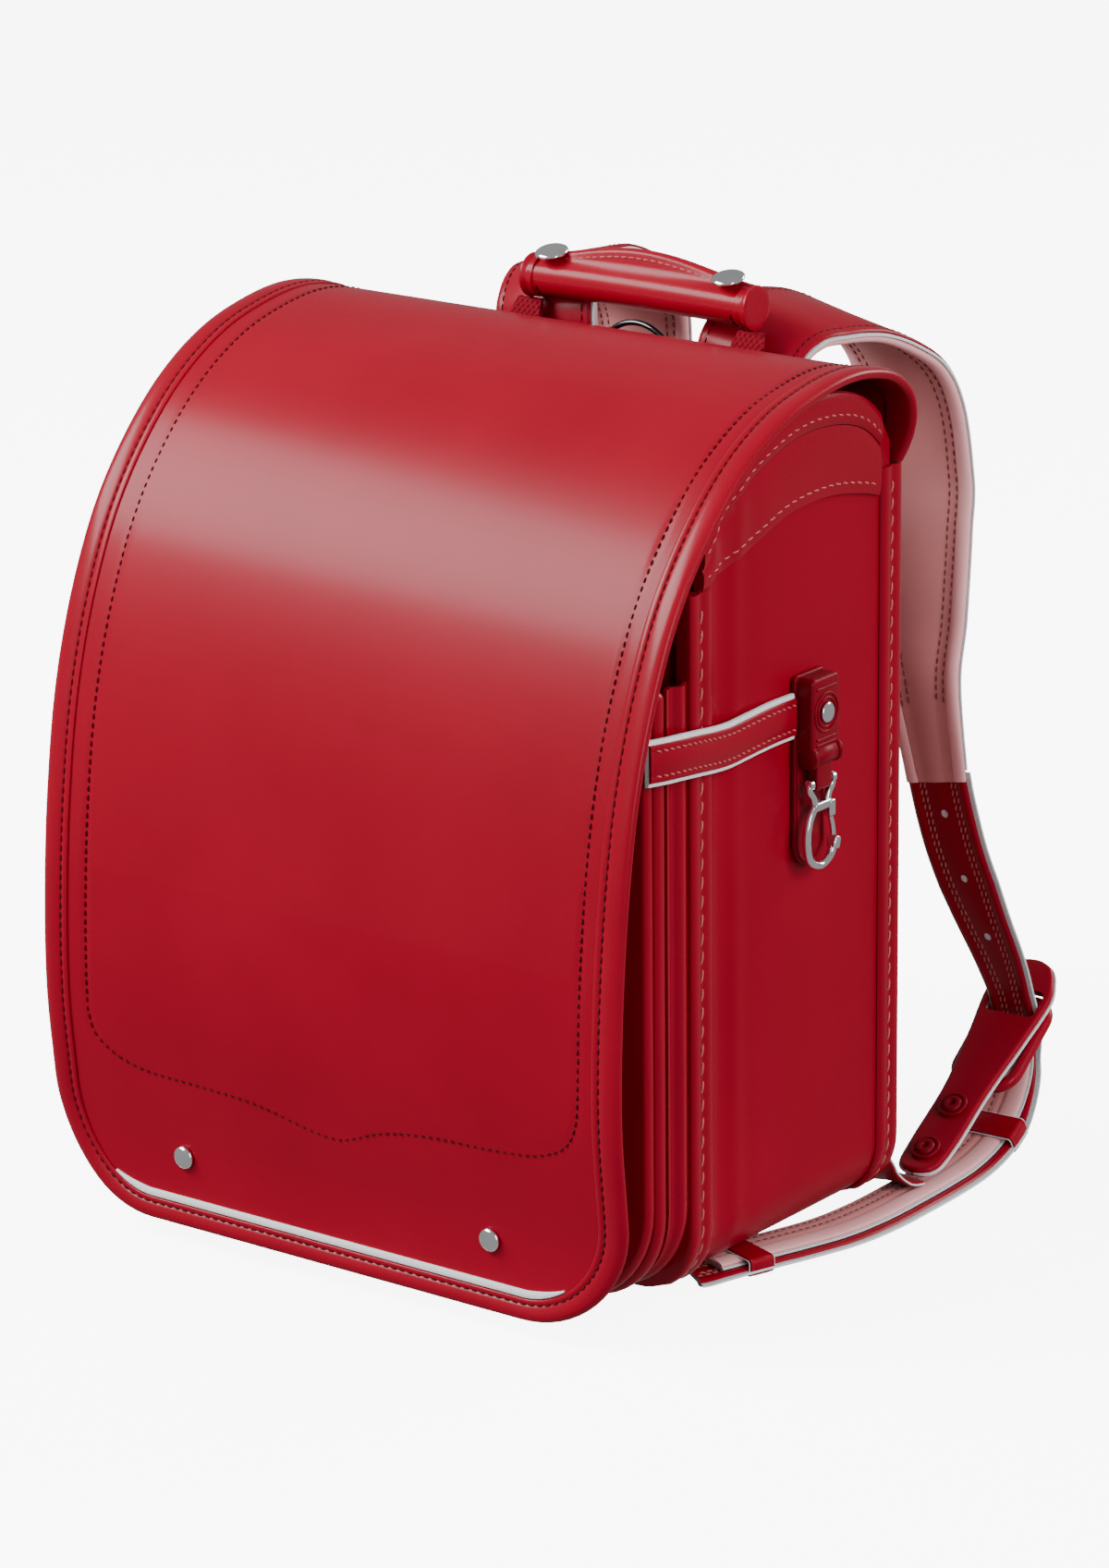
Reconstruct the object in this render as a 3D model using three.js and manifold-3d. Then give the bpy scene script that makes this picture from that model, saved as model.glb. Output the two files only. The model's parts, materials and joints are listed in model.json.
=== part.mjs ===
// A Japanese school backpack of glossy red leather, standing on its tucked belts.
// Millimetres, +X to the right of someone who faces the flap, +Y towards the wearer, +Z up.
// The origin is the middle of the flat underside of the lock plate, under the front of the bag.
import * as THREE from 'three';
import { mergeVertices } from 'three/addons/utils/BufferGeometryUtils.js';
import Module from 'manifold-3d';

const wasm = await Module();
wasm.setup();

// Driving dimensions of the bag
const gap = 0.3;
const bottomZ = 7.5;
const bodyHalfWidth = 124;
const bodyFrontY = -12;
const bodyBackY = 107;
const bodyTop = 327;
const bodyCornerRadius = 24;
const leatherWall = 2.2;
const boardWall = 3;
const edgingLip = 6.5;
const edgingDepth = 6.5;
const edgingProud = 1.7;
const edgingUnder = 0.9;
const padDepth = 10;
const padTop = 286;

// Driving dimensions of the flap
const flapHalfWidth = 134;
const flapRearHalfWidth = 127;
const flapRearTaper = 26;
const flapRearY = 113.5;
const flapFrontY = -75;
const flapTop = 335;
const flapWall = 2.4;
const flapEdgeWall = 4;
const flapCornerRadius = 47;
const bindingWidth = 12;
const bindingTuck = 6;
const reflectorWidth = 3.4;
const reflectorWall = 0.8;
const flapRivetRadius = 4.5;
const flapRivetX = 72;
const flapRivetHeight = 27;
const claspWidth = 46;
const claspWall = 3.2;
const claspDrop = 7;
const lockLength = 40;

// Driving dimensions of the front pockets
const pocketGussetHalfWidth = 123.5;
const pocketGussetDepth = 13.5;
const pocketHalfWidth = 125;
const pocketDepth = 6.5;
const pocketTop = 240;
const pocketCornerRadius = 36;
const slimPocketDepth = 5.5;
const slimPocketTop = 232;

// Driving dimensions of the side trim and the hooks
const yokeWall = 1.2;
const bandWidth = 17;
const bandWall = 2;
const bandCentreZ = 212.5;
const hookY = 53.5;
const hookPlateHalfWidth = 9.5;
const hookPlateTop = 227;
const hookPlateBottom = 154;
const hookPlateWall = 2;
const hookBlockDepth = 7.5;
const hookPivotZ = 186.5;
const hookPivotOut = 7;
const hookWire = 1.3;
const hookRivetRadius = 3.8;

// Driving dimensions of the handle, the ring and their anchor
const handleHalfLength = 52;
const handleY = 125;
const handleZ = 338.5;
const handleRadius = 7.4;
const handleRidge = 15;
const handleRivetRadius = 6.5;
const handleRivetX = 41;
const rivetLift = 2.3;
const loopTopWidth = 11;
const loopBottomWidth = 17;
const loopWall = 2;
const ringHalfWidth = 19.5;
const ringWire = 1.2;
const ringY = 121;
const ringTop = 327.7;
const anchorHalfWidth = 68;
const anchorBottom = 258;
const anchorTop = 289;
const ringBarZ = anchorTop + 7;
const anchorWall = 3;

// Driving dimensions of the straps and belts
const strapWall = 1.8;
const liningWall = 3.6;
const strapWidth = 46;
const beltTopWidth = 27;
const beltWidth = 19.5;
const beltWall = 2.2;
const holeRadius = 1.7;
const lowerBeltWidth = 19;
const lowerBeltWall = 2.6;
const padWidth = 29;
const padWall = 4;
const slotWidth = 23;
const slotLength = 12.5;
const buckleWidth = 31;
const buckleLength = 46;
const buckleBar = 2.5;
const buckleCorner = 8;
const eyeletRadius = 6;
const keeperLength = 11;
const keeperPlay = 6.3;
const keeperWall = 0.9;

const leather = { color: 0xa8101a, roughness: 0.28, metalness: 0 };
const lining = { color: 0xd9aeb0, roughness: 0.7, metalness: 0 };
const reflective = { color: 0xd6d8da, roughness: 0.5, metalness: 0 };
const moulded = { color: 0x9c1019, roughness: 0.45, metalness: 0 };
const webbing = { color: 0xa5101c, roughness: 0.85, metalness: 0 };
const chrome = { color: 0xd8d8dc, roughness: 0.12, metalness: 1 };
const nickel = { color: 0x35363a, roughness: 0.2, metalness: 1 };

const ransel = new THREE.Group();
const V = (x, y, z) => new THREE.Vector3(x, y, z);
const across = V(1, 0, 0);

// One closed geometry with every face turned outwards
function closedGeometry({ points, faces }) {
  let volume = 0;
  for (const [a, b, c] of faces) {
    volume += points[a].dot(points[b].clone().cross(points[c]));
  }
  const index = volume < 0 ? faces.map(([a, b, c]) => [a, c, b]) : faces;
  const geometry = new THREE.BufferGeometry();
  const values = points.flatMap((point) => point.toArray());
  geometry.setAttribute('position', new THREE.Float32BufferAttribute(values, 3));
  geometry.setIndex(index.flat());
  return geometry;
}

function addSolid(name, body, look) {
  return addMesh(name, closedGeometry(body), look);
}

function addMesh(name, geometry, look) {
  const mesh = new THREE.Mesh(geometry, new THREE.MeshStandardMaterial(look));
  mesh.name = name;
  ransel.add(mesh);
  return mesh;
}

// Turns a geometry into a manifold solid and back
function toManifold(geometry, matrix) {
  const bare = geometry.clone();
  bare.deleteAttribute('normal');
  bare.deleteAttribute('uv');
  if (matrix) {
    bare.applyMatrix4(matrix);
  }
  const merged = mergeVertices(bare, 1e-4);
  return new wasm.Manifold(new wasm.Mesh({
    numProp: 3,
    vertProperties: new Float32Array(merged.attributes.position.array),
    triVerts: new Uint32Array(merged.index.array),
  }));
}

function fromManifold(solid) {
  const mesh = solid.getMesh();
  const geometry = new THREE.BufferGeometry();
  geometry.setAttribute('position', new THREE.Float32BufferAttribute(mesh.vertProperties, 3));
  geometry.setIndex(Array.from(mesh.triVerts));
  return geometry;
}

function moved(x, y, z, turn = [0, 0, 0]) {
  const spin = new THREE.Quaternion().setFromEuler(new THREE.Euler(...turn));
  return new THREE.Matrix4().compose(V(x, y, z), spin, V(1, 1, 1));
}

// A closed solid from rings of equal length, with capped ends unless the rings close on themselves
function loft(rings, section, closed = false) {
  const count = section.length;
  const points = rings.flat();
  const faces = [];
  const last = closed ? rings.length : rings.length - 1;
  for (let i = 0; i < last; i += 1) {
    const next = (i + 1) % rings.length;
    for (let j = 0; j < count; j += 1) {
      const k = (j + 1) % count;
      faces.push([i * count + j, next * count + j, next * count + k]);
      faces.push([i * count + j, next * count + k, i * count + k]);
    }
  }
  if (!closed) {
    const cap = THREE.ShapeUtils.triangulateShape(section.map(([a, b]) => new THREE.Vector2(a, b)), []);
    const clockwise = THREE.ShapeUtils.isClockWise(section.map(([a, b]) => new THREE.Vector2(a, b)));
    const base = (rings.length - 1) * count;
    for (const [a, b, c] of cap) {
      const turn = clockwise ? [a, b, c] : [a, c, b];
      faces.push([turn[2], turn[1], turn[0]]);
      faces.push(turn.map((v) => base + v));
    }
  }
  return orient(points, faces, count, rings.length, closed);
}

// Makes the caps agree with the sides by checking a shared edge
function orient(points, faces, count, ringCount, closed) {
  if (closed) {
    return { points, faces };
  }
  const seen = new Set();
  const sideFaces = faces.slice(0, (ringCount - 1) * count * 2);
  for (const [a, b, c] of sideFaces) {
    seen.add(`${a},${b}`).add(`${b},${c}`).add(`${c},${a}`);
  }
  const caps = faces.slice(sideFaces.length);
  const fixed = [];
  for (const parity of [0, 1]) {
    const group = caps.filter((face, i) => i % 2 === parity);
    const clash = group.some(([a, b, c]) => (
      seen.has(`${a},${b}`) || seen.has(`${b},${c}`) || seen.has(`${c},${a}`)
    ));
    for (const [a, b, c] of group) {
      fixed.push(clash ? [a, c, b] : [a, b, c]);
    }
  }
  return { points, faces: sideFaces.concat(fixed) };
}

// A closed wall between two grids of points with the same rows and columns
function wallSolid(outer, inner) {
  const rows = outer.length;
  const cols = outer[0].length;
  const points = outer.flat().concat(inner.flat());
  const base = rows * cols;
  const faces = [];
  for (let i = 0; i < rows - 1; i += 1) {
    for (let j = 0; j < cols - 1; j += 1) {
      const a = i * cols + j;
      const [b, c, d] = [a + 1, a + cols + 1, a + cols];
      faces.push([a, b, c], [a, c, d], [base + a, base + c, base + b], [base + a, base + d, base + c]);
    }
  }
  const rim = [];
  for (let j = 0; j < cols; j += 1) {
    rim.push(j);
  }
  for (let i = 1; i < rows; i += 1) {
    rim.push(i * cols + cols - 1);
  }
  for (let j = cols - 2; j >= 0; j -= 1) {
    rim.push((rows - 1) * cols + j);
  }
  for (let i = rows - 2; i > 0; i -= 1) {
    rim.push(i * cols);
  }
  for (let i = 0; i < rim.length; i += 1) {
    const a = rim[i];
    const b = rim[(i + 1) % rim.length];
    faces.push([b, a, base + a], [b, base + a, base + b]);
  }
  return { points, faces };
}

// Linear look-up in a table of [x, y] rows
function lookUp(table, x) {
  if (x <= table[0][0]) {
    return table[0][1];
  }
  for (let i = 1; i < table.length; i += 1) {
    const [x0, y0] = table[i - 1];
    const [x1, y1] = table[i];
    if (x <= x1) {
      return y0 + (y1 - y0) * (x - x0) / (x1 - x0);
    }
  }
  return table[table.length - 1][1];
}

// The flap's side profile. Columns: share of the depth from the rear, share of the height
const flapProfile = [
  [0.003, 0.872], [0.0, 0.9], [0.003, 0.924], [0.022, 0.957], [0.076, 0.983], [0.162, 0.997],
  [0.24, 1.0], [0.335, 0.994], [0.459, 0.976], [0.584, 0.939], [0.692, 0.887], [0.8, 0.811],
  [0.881, 0.719], [0.941, 0.612], [0.978, 0.487], [0.997, 0.359], [1.0, 0.252], [0.986, 0.16],
  [0.973, 0.093], [0.973, 0.044], [0.984, 0.0],
];
const flapCurve = new THREE.CatmullRomCurve3(flapProfile.map(([back, up]) => V(
  0,
  flapRearY + (flapFrontY - flapRearY) * back,
  bottomZ + (flapTop - bottomZ) * up,
)), false, 'centripetal');
flapCurve.arcLengthDivisions = 400;
const flapLength = flapCurve.getLength();

// A point of the flap: x across, s along from the rear end, h inwards from the outer face
function flapPoint(x, s, h) {
  const t = Math.min(1, Math.max(0, s / flapLength));
  const point = flapCurve.getPointAt(t);
  const along = flapCurve.getTangentAt(t);
  const inward = across.clone().cross(along).normalize();
  return V(x, point.y + inward.y * h, point.z + inward.z * h);
}

// Half width of the flap at s, with its taper at the rear and its rounded lower corners
function flapHalf(s, inset = 0) {
  const radius = flapCornerRadius - inset;
  const fromEnd = flapLength - inset - s;
  let half = flapHalfWidth - inset;
  if (s < flapRearTaper) {
    const share = 1 - s / flapRearTaper;
    half -= (flapHalfWidth - flapRearHalfWidth) * share * share;
  }
  if (fromEnd < radius) {
    const drop = radius - Math.max(0, fromEnd);
    half = flapHalfWidth - flapCornerRadius + Math.sqrt(Math.max(0, radius * radius - drop * drop));
  }
  return half;
}

// Stations along the flap, closer together at the rear roll and the lower corners
const flapStationTable = [0, 10, 20, 31, 43, 56, 75, 100, 128, 156, 186, 218, 256, 300, 350];
const flapStationEnd = 460;
function flapStations(inset) {
  const end = flapLength - inset;
  const list = flapStationTable.map((s) => s * flapLength / flapStationEnd)
    .filter((s) => s < end - flapCornerRadius - 4);
  for (const turn of [0, 18, 34, 50, 64, 77, 90]) {
    list.push(end - (flapCornerRadius - inset) * (1 - Math.sin(turn * Math.PI / 180)));
  }
  return list;
}

function addFlap() {
  const inset = bindingTuck + 0.8;
  const columns = [-1, -0.6, 0, 0.6, 1];
  const rows = flapStations(inset);
  const top = (flapEdgeWall - flapWall) / 2;
  const grid = (h) => rows.map((s) => columns.map((c) => flapPoint(c * flapHalf(s, inset), s, h)));
  addSolid('flap', wallSolid(grid(top), grid(top + flapWall)), leather);
}

// The outline of the flap as x, s and the direction that points inwards, from rear left round to rear right
function flapOutline(inset) {
  const list = [];
  const end = flapLength;
  const centreS = end - flapCornerRadius;
  const straight = flapStations(0).filter((s) => s < centreS - 2);
  for (const s of straight) {
    list.push({ x: -(flapHalf(s) - inset), s, turnX: 1, turnS: 0 });
  }
  const cornerX = flapHalfWidth - flapCornerRadius;
  for (const degrees of [0, 18, 36, 54, 72, 90]) {
    const angle = degrees * Math.PI / 180;
    const reach = flapCornerRadius - inset;
    list.push({
      x: -cornerX - reach * Math.cos(angle), s: centreS + reach * Math.sin(angle),
      turnX: Math.cos(angle), turnS: -Math.sin(angle),
    });
  }
  const right = list.map(({ x, s, turnX, turnS }) => ({ x: -x, s, turnX: -turnX, turnS })).reverse();
  list.push({ x: 0, s: end - inset, turnX: 0, turnS: -1 });
  return list.concat(right);
}

// The binding folds round the flap's edge: a channel whose legs reach inwards over both faces
function addFlapBinding() {
  const leg = bindingWidth;
  const slot = bindingTuck;
  const panelTop = (flapEdgeWall - flapWall) / 2;
  const section = [
    [0, 0.6], [1.2, 0], [leg, 0], [leg, panelTop - gap], [slot, panelTop - gap],
    [slot, panelTop + flapWall + gap], [leg, panelTop + flapWall + gap], [leg, flapEdgeWall],
    [1.2, flapEdgeWall], [0, flapEdgeWall - 0.6],
  ];
  const rings = flapOutline(0).map(({ x, s, turnX, turnS }) => section.map(
    ([inward, h]) => flapPoint(x + turnX * inward, s + turnS * inward, h),
  ));
  addSolid('flap_binding', loft(rings, section), leather);
}

// The pale strip lies on the flap inside the binding and thins out at both corners
function addReflector() {
  const inner = bindingWidth + gap;
  const face = (flapEdgeWall - flapWall) / 2;
  const top = face - gap - reflectorWall;
  const outline = flapOutline(inner).filter(({ turnS }) => turnS < -0.3);
  const rings = outline.map(({ x, s, turnX, turnS }) => {
    const width = reflectorWidth * (0.35 + 0.65 * Math.abs(turnS));
    return [[0, top], [width, top], [width, top + reflectorWall], [0, top + reflectorWall]].map(
      ([inward, h]) => flapPoint(x + turnX * inward, s + turnS * inward, h),
    );
  });
  const section = [[0, 0], [1, 0], [1, 1], [0, 1]];
  addSolid('flap_reflector', loft(rings, section), reflective);
}

// A low dome with a flat back, made round its own axis
function domeGeometry(radius, height, sides = 12) {
  const profile = [
    [0, 0], [radius, 0], [radius, height * 0.3], [radius * 0.7, height * 0.8], [0, height],
  ];
  return new THREE.LatheGeometry(profile.map(([r, y]) => new THREE.Vector2(r, y)), sides);
}

// Puts a geometry whose axis is +Y on a surface point with a given outward direction
function placeOn(geometry, point, outward) {
  const spin = new THREE.Quaternion().setFromUnitVectors(V(0, 1, 0), outward.clone().normalize());
  const matrix = new THREE.Matrix4().compose(point, spin, V(1, 1, 1));
  return fromManifold(toManifold(geometry, matrix));
}

function addFlapRivets() {
  const s = flapLength - flapRivetHeight;
  const face = (flapEdgeWall - flapWall) / 2;
  for (const [side, sign] of [['left', -1], ['right', 1]]) {
    const seat = flapPoint(sign * flapRivetX, s, face - gap);
    const outward = flapPoint(0, s, 0).sub(flapPoint(0, s, 1));
    addMesh(`flap_rivet_${side}`, placeOn(domeGeometry(flapRivetRadius, 2.4), seat, outward), chrome);
  }
}

// The hidden clasp: a tongue from the flap's lower edge back to the lock plate under the bag
function addClasp() {
  const s = flapLength - bindingWidth * 0.5;
  const start = flapPoint(0, s, flapEdgeWall + gap);
  const end = lockLength / 2;
  const lockTop = bottomZ - edgingUnder - gap;
  const shape = new THREE.Shape();
  const dropY = bodyFrontY - edgingDepth - pocketGussetDepth - pocketDepth - slimPocketDepth - claspDrop;
  shape.moveTo(start.y + 0.6, start.z + 5);
  shape.lineTo(start.y + 0.6, bottomZ + 1.5);
  shape.lineTo(dropY - 2, bottomZ - 1);
  shape.lineTo(dropY + 3, 0);
  shape.lineTo(end, 0);
  shape.lineTo(end, lockTop);
  shape.lineTo(-end, lockTop);
  shape.lineTo(-end - 2, claspWall);
  shape.lineTo(dropY + 5, claspWall);
  shape.lineTo(dropY, bottomZ + claspWall - 1);
  shape.lineTo(start.y + 0.6 + claspWall, bottomZ + 1.5 + claspWall);
  shape.lineTo(start.y + 0.6 + claspWall, start.z + 5);
  const geometry = new THREE.ExtrudeGeometry(shape, { depth: claspWidth, bevelEnabled: false });
  const stand = new THREE.Matrix4().makeBasis(V(0, 1, 0), V(0, 0, 1), V(1, 0, 0));
  stand.setPosition(-claspWidth / 2, 0, 0);
  addMesh('clasp_tongue', fromManifold(toManifold(geometry, stand)), chrome);
}

// A U-shaped route round the bag seen from the front: x, z and the direction outwards
function uRoute(half, bottom, radius, topLeft, topRight, sideSteps, cornerSteps = 5) {
  const list = [];
  for (let i = 0; i < sideSteps; i += 1) {
    const share = i / sideSteps;
    list.push({ x: -half, z: topLeft + (bottom + radius - topLeft) * share, nx: -1, nz: 0 });
  }
  for (let i = 0; i <= cornerSteps; i += 1) {
    const a = i / cornerSteps * Math.PI / 2;
    list.push({
      x: -half + radius - radius * Math.cos(a), z: bottom + radius - radius * Math.sin(a),
      nx: -Math.cos(a), nz: -Math.sin(a),
    });
  }
  const right = list.map(({ x, z, nx, nz }) => ({ x: -x, z, nx: -nx, nz })).reverse();
  const scaled = right.map((row) => ({ ...row }));
  for (const row of scaled) {
    if (row.nz === 0) {
      const share = (row.z - bottom - radius) / (topLeft - bottom - radius);
      row.z = bottom + radius + share * (topRight - bottom - radius);
    }
  }
  return list.concat(scaled);
}

// Height of the side panel's upper edge. Columns: share of the depth, share of the height
const sideTopTable = [
  [0, 0.875], [0.072, 0.903], [0.134, 0.926], [0.211, 0.95], [0.364, 0.981], [0.517, 0.999],
  [0.69, 1.0], [0.85, 0.982], [0.95, 0.95], [1, 0.92],
];
function sideTop(y) {
  const share = (y - bodyFrontY) / (bodyBackY - bodyFrontY);
  return bottomZ + (bodyTop - bottomZ) * lookUp(sideTopTable, share);
}

// How far the side bends in behind the front seam. Columns: share of the depth, millimetres inwards
const sideDentTable = [[0, 0], [0.07, 0.4], [0.115, 1.8], [0.18, 1.1], [0.31, 0.3], [0.9, 0], [1, 0]];
function sideDent(y) {
  return lookUp(sideDentTable, (y - bodyFrontY) / (bodyBackY - bodyFrontY));
}

function bodyRoute(y, sideSteps) {
  const top = sideTop(y);
  return uRoute(bodyHalfWidth, bottomZ, bodyCornerRadius, top, top, sideSteps);
}

function addMainGusset() {
  const shares = [0, 0.07, 0.115, 0.18, 0.31, 0.46, 0.6, 0.72, 0.82, 0.91, 1];
  const depth = bodyBackY - bodyFrontY;
  const grid = (inward) => shares.map((share) => {
    const y = bodyFrontY + share * depth;
    return bodyRoute(y, 3).map(({ x, z, nx, nz }) => {
      const step = inward + sideDent(y) * Math.abs(nx);
      return V(x - nx * step, y, z - nz * step);
    });
  });
  addSolid('main_gusset', wallSolid(grid(0), grid(leatherWall)), leather);
}

// An L-shaped binding that runs down one side, under the bag and up the other side
function addEdging(name, y, direction, top) {
  const route = uRoute(bodyHalfWidth, bottomZ, bodyCornerRadius, top, top, 3);
  const section = [
    [-edgingDepth, -5], [-edgingDepth, edgingProud - 0.8], [-edgingDepth + 1.2, edgingProud],
    [edgingLip, edgingProud], [edgingLip, gap], [-gap, gap], [-gap, -5],
  ];
  const rings = route.map(({ x, z, nx, nz }) => section.map(([along, out]) => {
    const step = out > gap && nz < -0.9 ? Math.min(out, edgingUnder) : out;
    return V(x + nx * step, y + direction * along, z + nz * step);
  }));
  addSolid(name, loft(rings, section), leather);
}

// A flat board with rounded lower corners, standing across the bag
function boardGeometry(half, bottom, top, radius, depth, bevel = 0) {
  const shape = new THREE.Shape();
  const inner = bevel;
  shape.moveTo(-half + inner, top - inner);
  shape.lineTo(-half + inner, bottom + radius);
  shape.absarc(-half + radius, bottom + radius, radius - inner, Math.PI, Math.PI * 1.5, false);
  shape.lineTo(half - radius, bottom + inner);
  shape.absarc(half - radius, bottom + radius, radius - inner, Math.PI * 1.5, Math.PI * 2, false);
  shape.lineTo(half - inner, top - inner);
  const geometry = new THREE.ExtrudeGeometry(shape, {
    depth: depth - 2 * bevel, curveSegments: 6, bevelEnabled: bevel > 0,
    bevelSize: bevel, bevelThickness: bevel, bevelSegments: 1,
  });
  const stand = new THREE.Matrix4().makeBasis(V(1, 0, 0), V(0, 0, 1), V(0, -1, 0));
  stand.setPosition(0, -bevel, 0);
  return { geometry, stand };
}

function addBoard(name, half, bottom, top, radius, backY, depth, bevel, look) {
  const { geometry, stand } = boardGeometry(half, bottom, top, radius, depth, bevel);
  const place = new THREE.Matrix4().makeTranslation(0, backY, 0).multiply(stand);
  addMesh(name, fromManifold(toManifold(geometry, place)), look);
}

function addBody() {
  addMainGusset();
  const frontTop = yokeLow(0) - 2 * gap;
  const backTop = flapCurve.points[0].z - 2 * gap;
  addEdging('front_edging', bodyFrontY, 1, frontTop);
  addEdging('back_edging', bodyBackY, -1, backTop);
  const boardHalf = bodyHalfWidth - 5 - gap;
  const boardRadius = bodyCornerRadius - 5 - gap;
  const boardBottom = bottomZ + 5 + gap;
  const frontPlane = bodyFrontY - gap;
  const backPlane = bodyBackY + boardWall + gap;
  addBoard('front_board', boardHalf, boardBottom, frontTop, boardRadius, frontPlane, boardWall, 0, leather);
  addBoard('back_board', boardHalf, boardBottom, backTop, boardRadius, backPlane, boardWall, 0, leather);
  addBackPad(bodyBackY + boardWall + 2 * gap);
}

// The padded back, crowned across and from top to bottom
function addBackPad(frontY) {
  const half = bodyHalfWidth - 12;
  const bottom = bottomZ + 16;
  const rows = [0, 0.06, 0.3, 0.5, 0.7, 0.94, 1];
  const columns = [-1, -0.92, -0.5, 0, 0.5, 0.92, 1];
  const crown = [0.25, 0.75, 1, 0.9, 1, 0.75, 0.25];
  const grid = (front) => rows.map((row, i) => columns.map((column, j) => {
    const swell = front ? 0 : padDepth * crown[i] * crown[j];
    return V(half * column, frontY + (front ? 0 : Math.max(2, swell)), bottom + (padTop - bottom) * row);
  }));
  addSolid('back_pad', wallSolid(grid(true), grid(false)), lining);
}

function addPockets() {
  const seamY = bodyFrontY - edgingDepth - gap;
  const frontY = seamY - pocketGussetDepth;
  const folds = [[0, 0], [0.22, 1.6], [0.5, 2.4], [0.78, 0.6], [1, 1.2]];
  const half = pocketGussetHalfWidth;
  const grid = (inward) => folds.map(([share, out]) => {
    const route = uRoute(half, bottomZ + 3, pocketCornerRadius - 3, pocketTop, pocketTop, 2);
    return route.map(({ x, z, nx, nz }) => {
      const step = out - inward;
      return V(x + nx * step, seamY - share * pocketGussetDepth, z + nz * Math.min(step, 2.4));
    });
  });
  addSolid('pocket_gusset', wallSolid(grid(0), grid(1.6)), leather);
  const slimY = frontY - gap - pocketDepth - gap;
  const panelY = frontY - gap;
  addBoard('pocket_front', pocketHalfWidth, bottomZ, pocketTop, pocketCornerRadius, panelY,
    pocketDepth, 1.4, leather);
  addBoard('slim_pocket', pocketHalfWidth - 0.5, bottomZ, slimPocketTop, pocketCornerRadius + 4, slimY,
    slimPocketDepth, 1.2, leather);
}

// The yoke is a second layer of leather on the upper side, and above it the edge has a binding.
// Columns: share of the depth, the yoke's lower edge as a share of the height, the binding's height
const yokeTable = [
  [0, 0.826, 8], [0.06, 0.832, 8], [0.12, 0.838, 8.5], [0.19, 0.846, 9], [0.3, 0.86, 9.5],
  [0.43, 0.876, 10.5], [0.56, 0.882, 11.5], [0.69, 0.881, 12], [0.83, 0.872, 12], [0.93, 0.862, 12],
];
function yokeLow(row) {
  return bottomZ + (bodyTop - bottomZ) * yokeTable[row][1];
}

function addYokes() {
  const depth = bodyBackY - bodyFrontY;
  for (const [side, sign] of [['left', -1], ['right', 1]]) {
    const grid = (out) => yokeTable.map(([share, up, bindingHeight], row) => {
      const y = bodyFrontY + share * depth;
      const low = yokeLow(row);
      const high = sideTop(y) - bindingHeight - gap;
      const x = sign * (bodyHalfWidth - sideDent(y) + out);
      return [V(x, y, low), V(x, y, (low + high) / 2), V(x, y, high)];
    });
    addSolid(`side_yoke_${side}`, wallSolid(grid(gap + yokeWall), grid(gap)), leather);
    const bandGrid = (out) => yokeTable.map(([share, up, bindingHeight]) => {
      const y = bodyFrontY + share * depth;
      const x = sign * (bodyHalfWidth - sideDent(y) + out);
      const top = sideTop(y);
      return [V(x, y, top - bindingHeight), V(x, y, top - 0.4)];
    });
    addSolid(`side_top_band_${side}`, wallSolid(bandGrid(gap + yokeWall + 0.3), bandGrid(gap)), leather);
  }
}

// The side band's course. Columns: y from the hook mount, millimetres outside the body, sag
const bandCourse = [[-0.2, 1.4, 0], [-14, 1.7, 0.2], [-30, 2.2, -0.2], [-42, 3, -0.3], [-52, 3.8, 0.6],
  [-62, 4.6, 2], [-72, 5, 3.2], [-82, 4.4, 4], [-91, 2.8, 4.6]];
function addSideBands() {
  const startY = hookY - hookPlateHalfWidth - gap;
  for (const [side, sign] of [['left', -1], ['right', 1]]) {
    const grid = (out) => bandCourse.map(([along, proud, rise]) => {
      const x = sign * (bodyHalfWidth + proud + out);
      const z = bandCentreZ + rise;
      return [V(x, startY + along, z - bandWidth / 2), V(x, startY + along, z + bandWidth / 2)];
    });
    addSolid(`side_band_${side}`, wallSolid(grid(bandWall / 2), grid(-bandWall / 2 + gap)), reflective);
  }
}

function boxGeometry(x, y, z) {
  return new THREE.BoxGeometry(x, y, z);
}

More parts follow.
